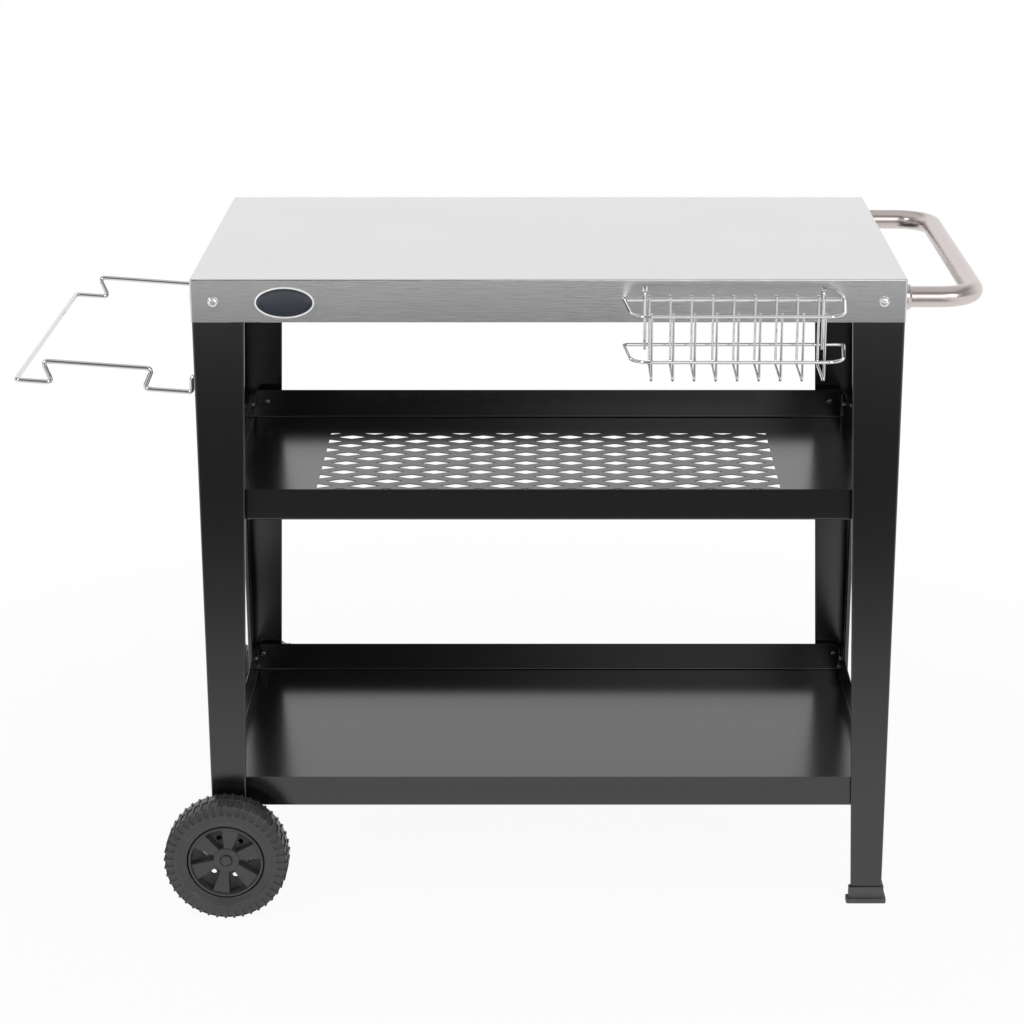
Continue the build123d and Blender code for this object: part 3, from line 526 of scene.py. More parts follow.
# How each finish is made, the name of its colour, and its own settings.
FINISHES = {
    "brushed_stainless_sheet": (
        brushed_steel,
        "stainless",
        {"roughness": 0.16, "along": "X", "grain_length": 40 * MM, "grain_width": 0.5 * MM, "groove": 0.3},
    ),
    "brushed_stainless_tube": (
        brushed_steel,
        "tube",
        {"roughness": 0.3, "along": "Y", "grain_length": 40 * MM, "grain_width": 0.8 * MM, "groove": 0.1},
    ),
    "baked_black_powder": (powder_coat, "powder", {}),
    "moulded_wheel_plastic": (moulded_plastic, "wheel", {"roughness": 0.38}),
    "moulded_foot_plastic": (moulded_plastic, "foot", {"roughness": 0.55}),
    "chrome_plated_wire": (plated_metal, "chrome", {"smoothest": 0.05, "roughest": 0.12}),
    "bright_zinc_plate": (plated_metal, "zinc", {"smoothest": 0.24, "roughest": 0.34}),
    "blackened_zinc_plate": (plated_metal, "black_screw", {"smoothest": 0.2, "roughest": 0.3}),
    "zinc_plated_rod": (plated_metal, "axle", {"smoothest": 0.25, "roughest": 0.4}),
    "white_rim_lacquer": (glossy_resin, "badge_rim", {}),
    "dark_domed_resin": (glossy_resin, "badge", {}),
}


def finish(name):
    """A finish by its name, made the first time that it is asked for."""
    make, colour_name, details = FINISHES[name]
    base = getattr(bpy.context.scene.cart_colours, colour_name)
    return bpy.data.materials.get(name) or make(name, base, **details)


def paint_nodes(finish_name, *nodes):
    """Gives CAD nodes a finish."""
    for node in nodes:
        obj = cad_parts[node]
        obj.data.materials.clear()
        obj.data.materials.append(finish(finish_name))


def finish_piece(obj, name, body, slot, finish_name, *nodes, smooth_below=32):
    """Gives a modelled piece its name, shading, finish and body, and hides the CAD nodes that it stands for.
    """
    take(obj)
    settle_in_mesh()
    bpy.ops.object.shade_smooth_by_angle(angle=math.radians(smooth_below))
    obj.name = name
    obj.data.name = name
    obj.data.materials.clear()
    obj.data.materials.append(finish(finish_name))
    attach(obj, body)
    if nodes:
        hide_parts(*nodes)


def finish_wire(obj, name, body, node):
    """Gives a bent wire its chrome."""
    finish_piece(obj, name, body, "chrome_wire", "chrome_plated_wire", node, smooth_below=50)


class CART_OT_sheet_metal(bpy.types.Operator):
    """Finish the folded top, the legs and the trays"""

    bl_idname = "cart.sheet_metal"
    bl_label = "Top, legs and trays"

    def execute(self, context):
        legs = [f"leg_{end}_{side}" for end in ("front", "rear") for side in ("left", "right")]
        trays = [f"{level}_shelf{part}" for level in ("middle", "bottom") for part in ("", "_spacers")]
        paint_nodes("brushed_stainless_sheet", "tabletop")
        paint_nodes("baked_black_powder", *legs, *trays)
        paint_nodes("bright_zinc_plate", "apron_nuts", "handle_plugs", "handle_bolts")
        return {"FINISHED"}


def model_tyre(sizes):
    """A tyre round the origin, its axle along Y: blocks with thin ribs, either side of a middle rib."""
    low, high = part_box("front_wheel_tyre")
    tread = (high.z - low.z) / 2 - sizes.rib_height
    half = (high.y - low.y) / 2
    shoulder = half - sizes.shoulder_width
    shoulder_drop = 0.6 * MM
    below_tread = tread - 0.5 * MM
    lug_steps = 8
    steps = sizes.tyre_lugs * lug_steps
    tyre = rod(tread, 2 * half, sides=steps, ends="NOTHING")
    edit(tyre)
    slice_across(-shoulder, -sizes.tread_rib / 2, sizes.tread_rib / 2, shoulder)
    # The sidewall as radii and depths: a step half way in, then the rounded bead and the gap round the rim.
    step_half, step_depth = 0.5 * MM, 1.1 * MM
    bead_gap, bead_edge = 0.4 * MM, 1.2 * MM
    bead_edge_depth, bead_depth = 1.6 * MM, 2.4 * MM
    bead_radius = sizes.rim_radius + bead_gap
    profile = (
        (sizes.slot_radius, 0.0),
        (sizes.sidewall_line + step_half, 0.0),
        (sizes.sidewall_line - step_half, step_depth),
        (bead_radius + bead_edge, bead_edge_depth),
        (bead_radius, bead_depth),
        (bead_radius, bead_depth + sizes.rim_gap_depth),
    )
    for side in (-1, 1):
        pick("EDGE", lambda edge: all(abs(vert.co.y - side * half) < NEAR for vert in edge.verts))
        widen(sizes.shoulder_radius / tread)
        bpy.ops.transform.translate(value=(0, -side * shoulder_drop, 0))
        reached, depth = sizes.shoulder_radius, shoulder_drop
        for radius, inset in profile:
            move = {"value": (0, side * (depth - inset), 0)}
            bpy.ops.mesh.extrude_edges_move(TRANSFORM_OT_translate=move)
            widen(radius / reached)
            reached, depth = radius, inset
    pick("EDGE", lambda edge: edge.is_boundary)
    bpy.ops.mesh.bridge_edge_loops()
    face_outwards()

    def step_of(place):
        """The step of a lug's pitch at a place. The two sides of the tyre are half a pitch apart."""
        step = int(math.atan2(place.z, place.x) / (2 * math.pi) * steps + steps)
        return (step + (lug_steps // 2 if place.y > 0 else 0)) % lug_steps

    def in_groove(face):
        """Whether a face of the shoulder or the sidewall lies between two lugs."""
        place = middle(face)
        on_side = abs(place.y) > shoulder and from_axle(place) > sizes.slot_radius
        return on_side and step_of(place) < lug_steps // 2

    def on_rib(face):
        """Whether a face of the tread lies on the middle rib or on a rib across a block."""
        place = middle(face)
        if from_axle(place) < below_tread or abs(place.y) > shoulder:
            return False
        return abs(place.y) < sizes.tread_rib / 2 or lug_steps // 2 < step_of(place) < lug_steps - 1

    pick("FACE", in_groove)
    bpy.ops.mesh.extrude_region_shrink_fatten(TRANSFORM_OT_shrink_fatten={"value": -sizes.groove_depth})
    pick("FACE", on_rib)
    bpy.ops.mesh.extrude_region_move()
    widen((tread + sizes.rib_height) / tread)
    settle()
    round_edges(tyre, 0.25 * MM)
    return tyre


def model_spokes(sizes):
    """A hub's flared spokes, dished towards the boss, and the web with its holes. The front is towards -Y."""
    rim_bite = 1.5 * MM
    half = sizes.spoke_depth / 2
    pocket = half - sizes.web_depth / 2
    gap = math.pi / sizes.spokes
    lean = gap - math.atan(sizes.spoke_flare)
    first = sizes.spoke_turn + gap
    turns = [Matrix.Rotation(-(first + 2 * gap * index), 4, "Y") for index in range(sizes.spokes)]
    plate = rod(sizes.rim_bore + rim_bite, sizes.spoke_depth)
    wedge = rod(sizes.rim_bore, 2 * pocket, (0, -half, 0))
    edit(wedge)
    for side in (-1, 1):
        normal = Vector((-math.sin(lean), 0, side * math.cos(lean)))
        point = Vector((math.sin(gap), 0, -side * math.cos(gap))) * sizes.spoke_root
        bpy.ops.mesh.select_all(action="SELECT")
        bpy.ops.mesh.bisect(plane_co=point, plane_no=normal, use_fill=True, clear_outer=True)
    face_outwards()
    settle()
    about_face = Matrix.Rotation(math.pi, 4, "X")
    wedges = []
    for turn in turns:
        wedges.append(copy_of(wedge, turn))
        wedges.append(copy_of(wedge, turn @ about_face))
    bpy.data.objects.remove(wedge)
    cut(plate, *wedges)
    places = [turn @ Vector((sizes.web_circle / 2, 0, 0)) for turn in turns]
    cut(plate, *[rod(sizes.web_hole / 2, 3 * sizes.web_depth, place, sides=24) for place in places])
    settle()
    slope = (sizes.dish_radius - sizes.boss_diameter / 2) / sizes.spoke_dish
    bpy.ops.mesh.primitive_cone_add(
        vertices=96,
        radius1=sizes.boss_diameter / 2,
        radius2=sizes.dish_radius + slope * OVERRUN,
        depth=sizes.spoke_dish + OVERRUN,
        location=(0, (sizes.spoke_dish - OVERRUN) / 2 - half, 0),
        rotation=(math.pi / 2, 0, 0),
    )
    cut(plate, bpy.context.object)
    round_edges(plate, 0.4 * MM)
    return plate


def model_rim(sizes):
    """A hub's rim, with a lip at each side that leaves a gap to the tyre."""
    rim = rod(sizes.rim_lip, sizes.rim_width)
    step = sizes.rim_width / 2 - sizes.rim_gap_depth
    edit(rim)
    slice_across(-step, step)
    pick("FACE", lambda face: abs(middle(face).y) < step)
    bpy.ops.mesh.extrude_region_move()
    widen(sizes.rim_radius / sizes.rim_lip)
    settle()
    cut(rim, rod(sizes.rim_bore, 2 * sizes.rim_width))
    round_edges(rim, 0.6 * MM)
    return rim


def model_boss(sizes):
    """A hub's boss, with a recess for the axle's cap."""
    boss_length = sizes.boss_inner + sizes.boss_outer
    boss_middle = (sizes.boss_inner - sizes.boss_outer) / 2
    boss = rod(sizes.boss_diameter / 2, boss_length, (0, boss_middle, 0), sides=64)
    recess_middle = sizes.cap_recess_depth / 2 - sizes.boss_outer - NEAR
    cut(boss, rod(sizes.cap_recess / 2, sizes.cap_recess_depth, (0, recess_middle, 0), sides=48))
    round_edges(boss, 0.8 * MM)
    return boss


class CART_OT_wheels(bpy.types.Operator):
    """Model the tyres and the hubs"""

    bl_idname = "cart.wheels"
    bl_label = "Wheels"

    def execute(self, context):
        sizes = context.scene.cart_sizes
        tyre = model_tyre(sizes)
        hub = join(model_spokes(sizes), model_rim(sizes), model_boss(sizes))
        about_face = Matrix.Rotation(math.pi, 4, "Z")
        slot, plastic = "wheel_plastic", "moulded_wheel_plastic"
        for wheel, turn in (("front_wheel", Matrix.Identity(4)), ("rear_wheel", about_face)):
            low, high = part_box(f"{wheel}_tyre")
            place = Matrix.Translation((low + high) / 2) @ turn
            for piece, part in ((tyre, "tyre"), (hub, "hub")):
                node = f"{wheel}_{part}"
                finish_piece(copy_of(piece, place), f"{node}_moulding", wheel, slot, plastic, node)
        bpy.data.objects.remove(tyre)
        bpy.data.objects.remove(hub)
        return {"FINISHED"}


class CART_OT_axle(bpy.types.Operator):
    """Finish the axle and model its push-on caps"""

    bl_idname = "cart.axle"
    bl_label = "Axle"

    def execute(self, context):
        cap_length = context.scene.cart_sizes.cap_length
        paint_nodes("zinc_plated_rod", "wheel_axle")
        paint_nodes("moulded_foot_plastic", "axle_bushes", "axle_spacers")
        low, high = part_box("axle_caps")
        centre = (low + high) / 2
        radius = (high.z - low.z) / 2
        dent_rim, dent_depth = radius * 0.45, 0.5 * MM
        caps = []
        for y, side in ((low.y, -1), (high.y, 1)):
            cap = rod(radius, cap_length, (centre.x, y - side * cap_length / 2, centre.z), sides=48)
            edit(cap)
            pick("FACE", lambda face: looks_along(face, (0, side, 0)))
            bpy.ops.mesh.inset(thickness=dent_rim)
            bpy.ops.transform.translate(value=(0, -side * dent_depth, 0))
            settle()
            round_edges(cap, 0.9 * MM, 3)
            caps.append(cap)
        slot, plastic = "wheel_plastic", "moulded_wheel_plastic"
        finish_piece(join(*caps), "axle_cap_mouldings", "cart", slot, plastic, "axle_caps")
        return {"FINISHED"}


def model_screw(reach, head, height, shank, long, wide, deep):
    """A pan-head screw along +Z, with the underside of its head at the origin and a cross recess."""
    dome, taper = height * 0.92, 0.72
    settle()
    middle_z = -height / 2
    bpy.ops.mesh.primitive_cylinder_add(vertices=48, radius=head / 2, depth=height, location=(0, 0, middle_z))
    screw = settle_in_mesh()
    edit(screw)
    pick("EDGE", lambda edge: all(vert.co.z < -height + NEAR for vert in edge.verts))
    bpy.ops.mesh.bevel(offset=dome, segments=8, profile=0.5, affect="EDGES")
    settle()
    for x, y in ((long, wide), (wide, long)):
        bar = block((-x / 2, -y / 2, -height - deep), (x / 2, y / 2, -height + deep))
        edit(bar)
        pick("FACE", lambda face: looks_along(face, (0, 0, 1)))
        bpy.ops.transform.resize(value=(taper, taper, 1), center_override=(0, 0, 0))
        settle()
        cut(screw, bar)
    round_edges(screw, 0.15 * MM, 1)
    middle_z = reach / 2
    bpy.ops.mesh.primitive_cylinder_add(vertices=24, radius=shank / 2, depth=reach, location=(0, 0, middle_z))
    stem = settle_in_mesh()
    round_edges(stem, 0.4 * MM, 1)
    return join(screw, stem)


def solid_boxes(node):
    """The lowest and highest corners of each separate solid in a CAD node."""
    mesh = bmesh.new()
    mesh.from_mesh(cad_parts[node].data)
    bmesh.ops.remove_doubles(mesh, verts=mesh.verts, dist=MM / 1000)
    boxes = []
    left = set(mesh.verts)
    while left:
        shell = {left.pop()}
        reached = list(shell)
        while reached:
            for edge in reached.pop().link_edges:
                new = left.intersection(edge.verts)
                left -= new
                shell |= new
                reached += new
        points = [vert.co for vert in shell]
        low = Vector([min(point[i] for point in points) for i in range(3)])
        high = Vector([max(point[i] for point in points) for i in range(3)])
        boxes.append((low, high))
    mesh.free()
    return sorted(boxes, key=lambda box: tuple(round(v, 5) for v in box[0]))


def place_screws(node, screw, head_height, inwards):
    """Copies of a screw at each screw of a CAD node. inwards is 1 if the tips point to the cart's middle."""
    first_turn, next_turn = 25, 37
    centre = (table_low + table_high) / 2
    screws = []
    for low, high in solid_boxes(node):
        size = high - low
        axis = 0 if size.x > size.y else 1
        sign = inwards if (low + high)[axis] / 2 < centre[axis] else -inwards
        head = (low + high) / 2
        head[axis] = (low[axis] + head_height) if sign > 0 else (high[axis] - head_height)
        aim = Vector((sign, 0, 0)) if axis == 0 else Vector((0, sign, 0))
        turn = aim.to_track_quat("Z", "X").to_matrix().to_4x4()
        drive = Matrix.Rotation(math.radians(first_turn + next_turn * len(screws)), 4, "Z")
        screws.append(copy_of(screw, Matrix.Translation(head) @ turn @ drive))
    bpy.data.objects.remove(screw)
    return join(*screws)


class CART_OT_screws(bpy.types.Operator):
    """Model the screws of the top and the trays"""

    bl_idname = "cart.screws"
    bl_label = "Screws"

    def execute(self, context):
        sets = (
            ("apron_screw", APRON_SCREW, 1, "zinc_screw", "bright_zinc_plate"),
            ("middle_shelf_screw", TRAY_SCREW, -1, "black_screw", "blackened_zinc_plate"),
            ("bottom_shelf_screw", TRAY_SCREW, -1, "black_screw", "blackened_zinc_plate"),
        )
        for name, kind, inwards, slot, plate in sets:
            node = f"{name}s"
            low, high = solid_boxes(node)[0]
            reach = max(high - low) - kind["height"]
            screws = place_screws(node, model_screw(reach, **kind), kind["height"], inwards)
            finish_piece(screws, f"{name}_set", "cart", slot, plate, node)
        return {"FINISHED"}


def model_foot(sizes, low, high, face):
    """A foot cap between two corners: an angle on a wider base. face is the side that it faces in Y."""

    def angle_block(inset, bottom, top):
        """The foot's angle between two heights, its outline inset by a distance."""
        limb = sizes.foot_slot + 2 * (sizes.foot_wall + sizes.foot_margin - inset)
        piece = block((low.x + inset, low.y + inset, bottom), (high.x - inset, high.y - inset, top))
        front, back = low.y - OVERRUN, high.y - inset - limb
        if face < 0:
            front, back = low.y + inset + limb, high.y + OVERRUN
        gap_low = (low.x - OVERRUN, front, bottom - OVERRUN)
        gap_high = (high.x - inset - limb, back, top + OVERRUN)
        cut(piece, block(gap_low, gap_high))
        return piece

    base, margin, wall = sizes.foot_base, sizes.foot_margin, sizes.foot_wall
    corner_share = 0.9
    tiers = []
    for inset, bottom, top, corner in ((0, 0, base, margin), (margin, base, high.z, wall)):
        tier = angle_block(inset, bottom, top)
        edit(tier)
        pick("EDGE", lambda edge: abs(edge.verts[0].co.z - edge.verts[1].co.z) > NEAR)
        bpy.ops.mesh.bevel(offset=corner * corner_share, segments=4, affect="EDGES")
        settle()
        tiers.append(tier)
    cut(tiers[1], angle_block(margin + wall, base - OVERRUN, high.z + OVERRUN))
    foot = join(*tiers)
    round_edges(foot, 0.6 * MM, 3)
    return foot


class CART_OT_feet(bpy.types.Operator):
    """Model the foot caps"""

    bl_idname = "cart.feet"
    bl_label = "Feet"

    def execute(self, context):
        for node, face in (("foot_front_right", -1), ("foot_rear_right", 1)):
            foot = model_foot(context.scene.cart_sizes, *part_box(node), face)
            finish_piece(foot, f"{node}_moulding", "cart", "foot_plastic", "moulded_foot_plastic", node)
        return {"FINISHED"}


def oval(width, height, depth):
    """An oval plate round the origin, left in edit mode with its front selected."""
    plate = rod(0.5, depth, sides=128)
    edit(plate)
    bpy.ops.transform.resize(value=(width, 1, height))
    pick("FACE", lambda face: looks_along(face, (0, -1, 0)))
    return plate


class CART_OT_badge(bpy.types.Operator):
    """Model the blank oval badge and its rim"""

    bl_idname = "cart.badge"
    bl_label = "Badge"

    def execute(self, context):
        rim_width = context.scene.cart_sizes.badge_rim
        recess, plate_depth = 1.4 * MM, 1.0 * MM
        dome_step, dome_rises = 2.2 * MM, (0.35 * MM, 0.18 * MM, 0.07 * MM)
        low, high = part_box("badge_bezel")
        size, centre = high - low, (low + high) / 2
        rim = oval(size.x, size.z, size.y)
        bpy.ops.mesh.inset(thickness=rim_width)
        bpy.ops.mesh.extrude_region_move(TRANSFORM_OT_translate={"value": (0, recess, 0)})
        bpy.ops.mesh.delete(type="FACE")
        settle()
        round_edges(rim, 0.6 * MM, 3)
        rim.data.transform(Matrix.Translation(centre))
        finish_piece(rim, "badge_rim", "cart", "badge_rim", "white_rim_lacquer", "badge_bezel")

        plate = oval(size.x - 2 * rim_width, size.z - 2 * rim_width, plate_depth)
        for rise in dome_rises:
            bpy.ops.mesh.inset(thickness=dome_step)
            bpy.ops.transform.translate(value=(0, -rise, 0))
        settle()
        plate.data.transform(Matrix.Translation((centre.x, high.y - plate_depth / 2, centre.z)))
        finish_piece(
            plate, "badge_plate", "cart", "badge_plate", "dark_domed_resin", "badge_insert", smooth_below=60
        )
        return {"FINISHED"}


def model_collar(place, radius, thickness, reach):
    """A collar round the handle's tube at a place on the apron: a half ring, rounded away from the apron."""
    settle()
    bpy.ops.mesh.primitive_torus_add(
        major_segments=64,
        minor_segments=16,
        major_radius=radius,
        minor_radius=thickness,
        location=place,
        rotation=(0, math.pi / 2, 0),
    )
    collar = settle_in_mesh()
    apron = (place[0], 0, 0)
    edit(collar)
    bpy.ops.mesh.bisect(plane_co=apron, plane_no=(1, 0, 0), clear_inner=True, use_fill=False)
    bpy.ops.mesh.select_all(action="SELECT")
    bpy.ops.transform.resize(value=(reach / thickness, 1, 1), center_override=apron)
    pick("EDGE", lambda edge: edge.is_boundary)
    bpy.ops.mesh.bridge_edge_loops()
    face_outwards()
    settle()
    return collar


class CART_OT_handle(bpy.types.Operator):
    """Model the bent handle tube and its collars"""

    bl_idname = "cart.handle"
    bl_label = "Handle"

    def execute(self, context):
        sizes = context.scene.cart_sizes
        slot, steel = "stainless_tube", "brushed_stainless_tube"
        low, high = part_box("handle_tube")
        radius = sizes.handle_tube / 2
        z = (low.z + high.z) / 2
        near, far = low.y + radius, high.y - radius
        bar = high.x - radius
        corners = ((low.x, near, z), (bar, near, z), (bar, far, z), (low.x, far, z))
        tube = bent_wire(corners, [sizes.handle_bend] * 2, sizes.handle_tube, steps=24, roundness=14)
        finish_piece(tube, "handle_bent_tube", "cart", slot, steel, "handle_tube", smooth_below=50)
        low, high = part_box("handle_collars")
        thickness = (high.z - low.z) / 2 - radius
        collars = [model_collar((low.x, y, z), radius, thickness, high.x - low.x) for y in (near, far)]
        finish_piece(join(*collars), "handle_collar_set", "cart", slot, steel, "handle_collars")
        return {"FINISHED"}


class CART_OT_bag_holder(bpy.types.Operator):
    """Model the bent wire that holds a bag"""

    bl_idname = "cart.bag_holder"
    bl_label = "Bag holder"

    def execute(self, context):
        sizes = context.scene.cart_sizes
        low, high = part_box("bag_holder")
        radius = sizes.bag_wire / 2
        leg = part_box("leg_front_left")[0].x
        slot_z = table_high.z - sizes.bag_slot_drop
        riser, under = sizes.bag_riser_out, sizes.bag_jog_undercut

        def run(out, rise):
            """A point on the tilted arm, by its distance out from the leg and its rise above the low run."""
            return out, (out - riser) * math.tan(sizes.bag_tilt) + rise - sizes.bag_riser_drop

        arm = [
            (-sizes.bag_tip_gap - radius, sizes.bag_tip_rise),
            (-sizes.bag_tip_reach, 0),
            (riser, 0),
            run(riser, 0),
            run(sizes.bag_jog_near, 0),
            run(sizes.bag_jog_near - under, sizes.bag_jog_rise),
            run(sizes.bag_jog_far + under, sizes.bag_jog_rise),
            run(sizes.bag_jog_far, 0),
            run(leg - low.x - radius, 0),
        ]
        near, far = low.y + radius, high.y - radius
        corners = [(leg - out, near, slot_z + rise) for out, rise in arm]
        corners += [(leg - out, far, slot_z + rise) for out, rise in reversed(arm)]
        wire = bent_wire(corners, [sizes.bag_bend] * (len(corners) - 2), sizes.bag_wire)
        finish_wire(wire, "bag_holder_wire", "bag_holder", "bag_holder")
        return {"FINISHED"}


def model_ring(sizes, node):
    """A closed ring of the basket, wider at the back than at the front."""
    low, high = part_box(node)
    radius = sizes.ring_wire / 2
    x, z = (low.x + high.x) / 2, (low.z + high.z) / 2
    front, back = low.y + radius, high.y - radius
    wide, narrow = sizes.ring_back_width / 2, sizes.ring_front_width / 2
    tight, easy = sizes.ring_back_bend, sizes.ring_front_bend
    corners = ((x - wide, back, z), (x - narrow, front, z), (x + narrow, front, z), (x + wide, back, z))
    return bent_wire(corners, (tight, easy, easy, tight), sizes.ring_wire, closed=True, steps=14)


def model_rib(sizes, x, low, high):
    """A rib of the basket: a wire down the back, under the floor and up the front."""
    radius = sizes.rib_wire / 2
    front, back, bottom = low.y + radius, high.y - radius, low.z + radius
    corners = ((x, back, high.z), (x, back, bottom), (x, front, bottom), (x, front, high.z))
    return bent_wire(corners, [sizes.rib_bend] * 2, sizes.rib_wire)


def model_hook(sizes, x, low):
    """A hook of the basket: a wire up the back, through the apron's slot and up again behind it."""
    y = low.y + sizes.hook_wire / 2
    z = table_high.z - sizes.hook_drop
    inside = table_low.y + sizes.top_sheet
    corners = (
        (x, inside + sizes.hook_reach, z + sizes.hook_rise),
        (x, inside + sizes.hook_straight, z),
        (x, y, z),
        (x, y, low.z),
    )
    return bent_wire(corners, [sizes.hook_bend] * 2, sizes.hook_wire)


class CART_OT_basket(bpy.types.Operator):
    """Model the welded wire basket"""

    bl_idname = "cart.basket"
    bl_label = "Basket"

    def execute(self, context):
        sizes = context.scene.cart_sizes
        levels = []
        for node in RINGS:
            low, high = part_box(node)
            levels.append((low.z + high.z) / 2)
            finish_wire(model_ring(sizes, node), f"{node}_wire", "basket", node)

        beads = []
        low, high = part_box("basket_ribs")
        x = (low.x + high.x) / 2
        shifts = [(index - (sizes.rib_count - 1) / 2) * sizes.rib_pitch for index in range(sizes.rib_count)]
        ribs = row_of(model_rib(sizes, x, low, high), shifts)
        finish_wire(ribs, "basket_rib_wires", "basket", "basket_ribs")
        for shift in shifts:
            for z in levels:
                for y in (high.y, low.y):
                    beads.append(bead((x + shift, y, z), 1.3 * MM, (1.5, 0.8, 1.3)))

        low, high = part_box("basket_hooks")
        x = (low.x + high.x) / 2
        shifts = (-sizes.hook_spacing / 2, sizes.hook_spacing / 2)
        hooks = row_of(model_hook(sizes, x, low), shifts)
        finish_wire(hooks, "basket_hook_wires", "basket", "basket_hooks")
        for shift in shifts:
            for z in levels:
                beads.append(bead((x + shift, low.y + sizes.hook_wire, z), 1.6 * MM, (1.6, 0.8, 1.3)))
        slot, chrome = "chrome_wire", "chrome_plated_wire"
        finish_piece(join(*beads), "basket_weld_beads", "basket", slot, chrome, smooth_below=80)
        return {"FINISHED"}


def ray_kinds(tree):
    """Whether the camera looks at a surface straight, and whether it looks by way of gloss or glass."""
    path = add_node(tree, "ShaderNodeLightPath", {}, {})
    mirror = {0: path.outputs["Is Glossy Ray"], 1: path.outputs["Is Transmission Ray"]}
    mirrored = add_node(tree, "ShaderNodeMath", {"operation": "MAXIMUM"}, mirror).outputs[0]
    return path.outputs["Is Camera Ray"], mirrored


def floor_paper():
    """White seamless paper: the camera sees it as white, it keeps the cart's soft shadow, and gloss sees it
    grow darker in front, away from the lamps."""
    material, tree, place = new_material("white_floor_paper")
    seen, mirrored = ray_kinds(tree)
    away = add_node(tree, "ShaderNodeVectorMath", {"operation": "LENGTH"}, {0: place}).outputs["Value"]
    split = add_node(tree, "ShaderNodeSeparateXYZ", {}, {"Vector": place})
    smooth = {"interpolation_type": "SMOOTHSTEP"}
    # For gloss: white by the cart and to its sides, dark from 1.9 m in front, and lighter again past 3.4 m.
    near = {"Value": split.outputs["Y"], "From Min": -1.9, "From Max": -0.5, "To Min": 0.1, "To Max": 1.0}
    near = add_node(tree, "ShaderNodeMapRange", smooth, near).outputs["Result"]
    far = {"Value": split.outputs["Y"], "From Min": -3.75, "From Max": -3.4, "To Min": 0.7, "To Max": 0.0}
    far = add_node(tree, "ShaderNodeMapRange", smooth, far).outputs["Result"]
    ahead = add_node(tree, "ShaderNodeMath", {"operation": "ADD"}, {0: near, 1: far}).outputs[0]
    across = add_node(tree, "ShaderNodeMath", {"operation": "ABSOLUTE"}, {0: split.outputs["X"]}).outputs[0]
    aside = {"Value": across, "From Min": 0.9, "From Max": 1.7}
    aside = add_node(tree, "ShaderNodeMapRange", smooth, aside).outputs["Result"]
    lit = add_node(tree, "ShaderNodeMath", {"operation": "MAXIMUM"}, {0: ahead, 1: aside}).outputs[0]
    # For the camera: a little of the shadow close to the cart, and none further off.
    clear = {"Value": away, "From Min": 0.7, "From Max": 1.6, "To Min": 0.94, "To Max": 1.0}
    clear = add_node(tree, "ShaderNodeMapRange", smooth, clear).outputs["Result"]
    paper = add_node(tree, "ShaderNodeBsdfDiffuse", {}, {"Color": (0.8, 0.8, 0.8, 1)}).outputs[0]
    white = add_node(tree, "ShaderNodeEmission", {}, {"Strength": 1.0}).outputs[0]
    dimmed = add_node(tree, "ShaderNodeEmission", {}, {"Strength": lit}).outputs[0]
    shown = add_node(tree, "ShaderNodeMixShader", {}, {0: clear, 1: paper, 2: white}).outputs[0]
    glossy = add_node(tree, "ShaderNodeMixShader", {}, {0: mirrored, 1: paper, 2: dimmed}).outputs[0]
    whole = add_node(tree, "ShaderNodeMixShader", {}, {0: seen, 1: glossy, 2: shown}).outputs[0]
    add_node(tree, "ShaderNodeOutputMaterial", {}, {"Surface": whole})
    return material


def studio_world(scene):
    """A white room: the camera sees plain white, and gloss sees a white back, grey above and a dark front."""
    world = bpy.data.worlds.new("studio")
    scene.world = world
    world.use_nodes = True
    tree = world.node_tree
    tree.nodes.clear()
    plain = {"data_type": "FLOAT"}
    aim = add_node(tree, "ShaderNodeTexCoord", {}, {}).outputs["Generated"]
    split = add_node(tree, "ShaderNodeSeparateXYZ", {}, {"Vector": aim})
    wall = {"Value": split.outputs["Y"], "From Min": -0.5, "From Max": 0.5, "To Min": 0.12, "To Max": 1.0}
    wall = add_node(tree, "ShaderNodeMapRange", {}, wall).outputs["Result"]
    up = {"Value": split.outputs["Z"], "From Min": 0.45, "From Max": 0.75}
    up = add_node(tree, "ShaderNodeMapRange", {}, up).outputs["Result"]
    room = {FACTOR: up, VALUE_A: wall, VALUE_B: 0.15}
    room = add_node(tree, "ShaderNodeMix", plain, room).outputs[VALUE_OUT]
    seen, mirrored = ray_kinds(tree)
    light = {FACTOR: mirrored, VALUE_A: 0.4, VALUE_B: room}
    light = add_node(tree, "ShaderNodeMix", plain, light).outputs[VALUE_OUT]
    strength = {FACTOR: seen, VALUE_A: light, VALUE_B: 1.0}
    strength = add_node(tree, "ShaderNodeMix", plain, strength).outputs[VALUE_OUT]
    back = add_node(tree, "ShaderNodeBackground", {}, {"Color": (1, 1, 1, 1), "Strength": strength})
    add_node(tree, "ShaderNodeOutputWorld", {}, {"Surface": back.outputs[0]})


def softbox(name, place, width, height, power):
    """A rectangular softbox that faces the cart's middle."""
    aim = Vector((0.06, 0.02, 0.5))
    data = bpy.data.lights.new(name, "AREA")
    data.shape = "RECTANGLE"
    data.size, data.size_y, data.energy = width, height, power
    lamp = bpy.data.objects.new(name, data)
    lamp.location = place
    lamp.rotation_euler = (aim - Vector(place)).to_track_quat("-Z", "Y").to_euler()
    bpy.context.scene.collection.objects.link(lamp)


def studio_camera(scene):
    """The camera, at the photograph's viewing angle."""
    down = math.radians(18.56)
    data = bpy.data.cameras.new("studio_camera")
    data.sensor_width = 36
    data.lens = 97.0
    data.shift_x = -0.0356
    data.shift_y = 0.043
    camera = bpy.data.objects.new("studio_camera", data)
    camera.location = (0.0605, -3.4255, 1.538)
    camera.rotation_euler = (math.pi / 2 - down, 0, 0)
    scene.collection.objects.link(camera)
    scene.camera = camera


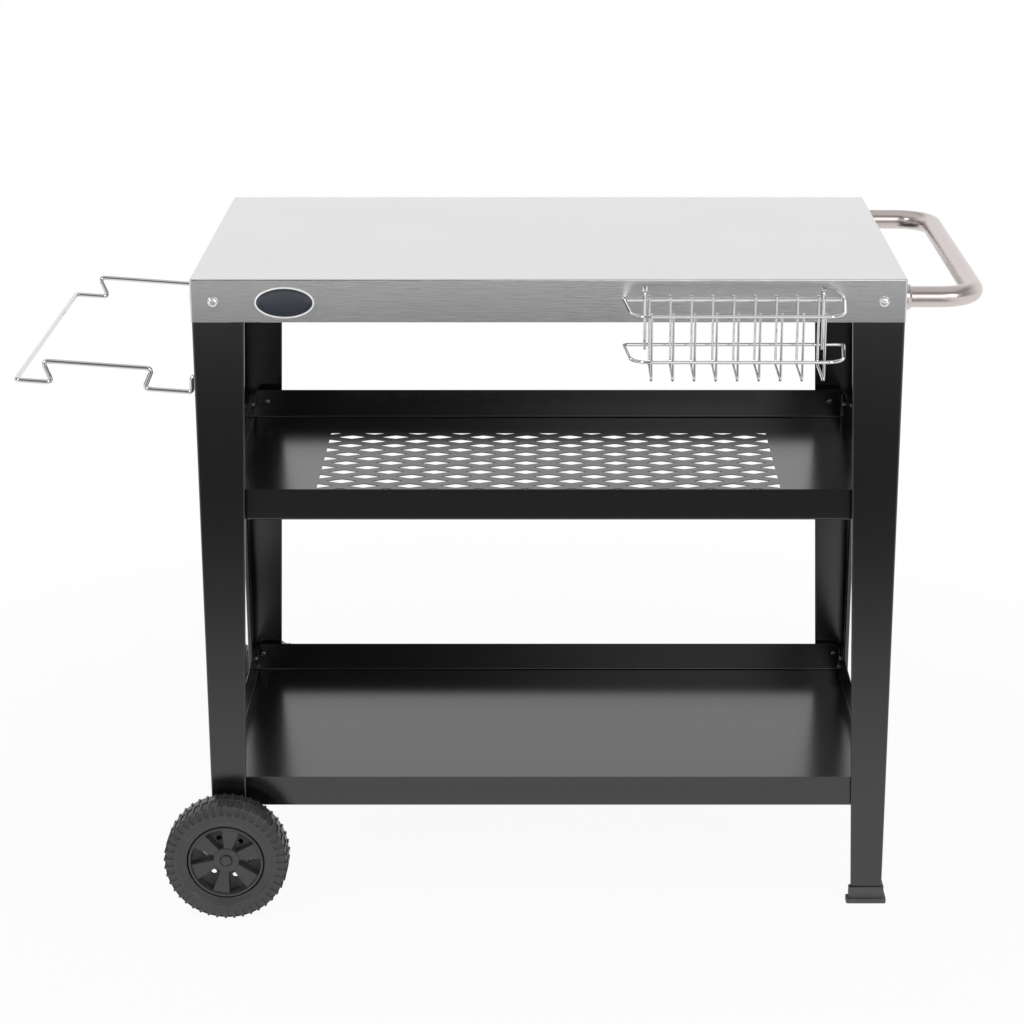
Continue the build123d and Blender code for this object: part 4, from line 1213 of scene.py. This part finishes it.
class CART_OT_stage(bpy.types.Operator):
    """Lay the floor, light the studio and set the camera"""

    bl_idname = "cart.stage"
    bl_label = "Stage"

    def execute(self, context):
        scene = context.scene
        settle()
        bpy.ops.mesh.primitive_plane_add(size=40)
        floor = context.object
        floor.name = "studio_floor"
        floor.data.materials.append(floor_paper())
        studio_world(scene)
        softbox("overhead_softbox", (0.0, 0.3, 3.4), width=5.0, height=4.0, power=35)
        softbox("front_softbox", (1.0, -3.6, 1.9), width=2.0, height=1.9, power=26)
        softbox("left_softbox", (-2.4, -2.7, 1.9), width=0.7, height=1.4, power=30)
        softbox("right_softbox", (2.5, -2.7, 1.9), width=0.7, height=1.4, power=24)
        studio_camera(scene)
        scene.view_settings.view_transform = "Standard"
        return {"FINISHED"}


class CART_PT_panel(bpy.types.Panel):
    """Sizes, colours and steps of the cart"""

    bl_idname = "CART_PT_panel"
    bl_label = "Kitchen Cart"
    bl_space_type = "VIEW_3D"
    bl_region_type = "UI"
    bl_category = "Cart"

    def draw(self, context):
        for step in STEPS:
            self.layout.operator(step.bl_idname)
        for group in (context.scene.cart_sizes, context.scene.cart_colours):
            for name in group.__annotations__:
                self.layout.prop(group, name)


STEPS = (
    CART_OT_stage,
    CART_OT_sheet_metal,
    CART_OT_wheels,
    CART_OT_axle,
    CART_OT_screws,
    CART_OT_feet,
    CART_OT_badge,
    CART_OT_handle,
    CART_OT_bag_holder,
    CART_OT_basket,
)
CLASSES = (CartSizes, CartColours, *STEPS, CART_PT_panel)


def register():
    for cls in CLASSES:
        bpy.utils.register_class(cls)
    bpy.types.Scene.cart_sizes = bpy.props.PointerProperty(type=CartSizes)
    bpy.types.Scene.cart_colours = bpy.props.PointerProperty(type=CartColours)


def unregister():
    del bpy.types.Scene.cart_colours
    del bpy.types.Scene.cart_sizes
    for cls in reversed(CLASSES):
        bpy.utils.unregister_class(cls)


def main():
    register()
    for step in STEPS:
        group, name = step.bl_idname.split(".")
        getattr(getattr(bpy.ops, group), name)()
    settle()


if __name__ == "__main__":
    main()
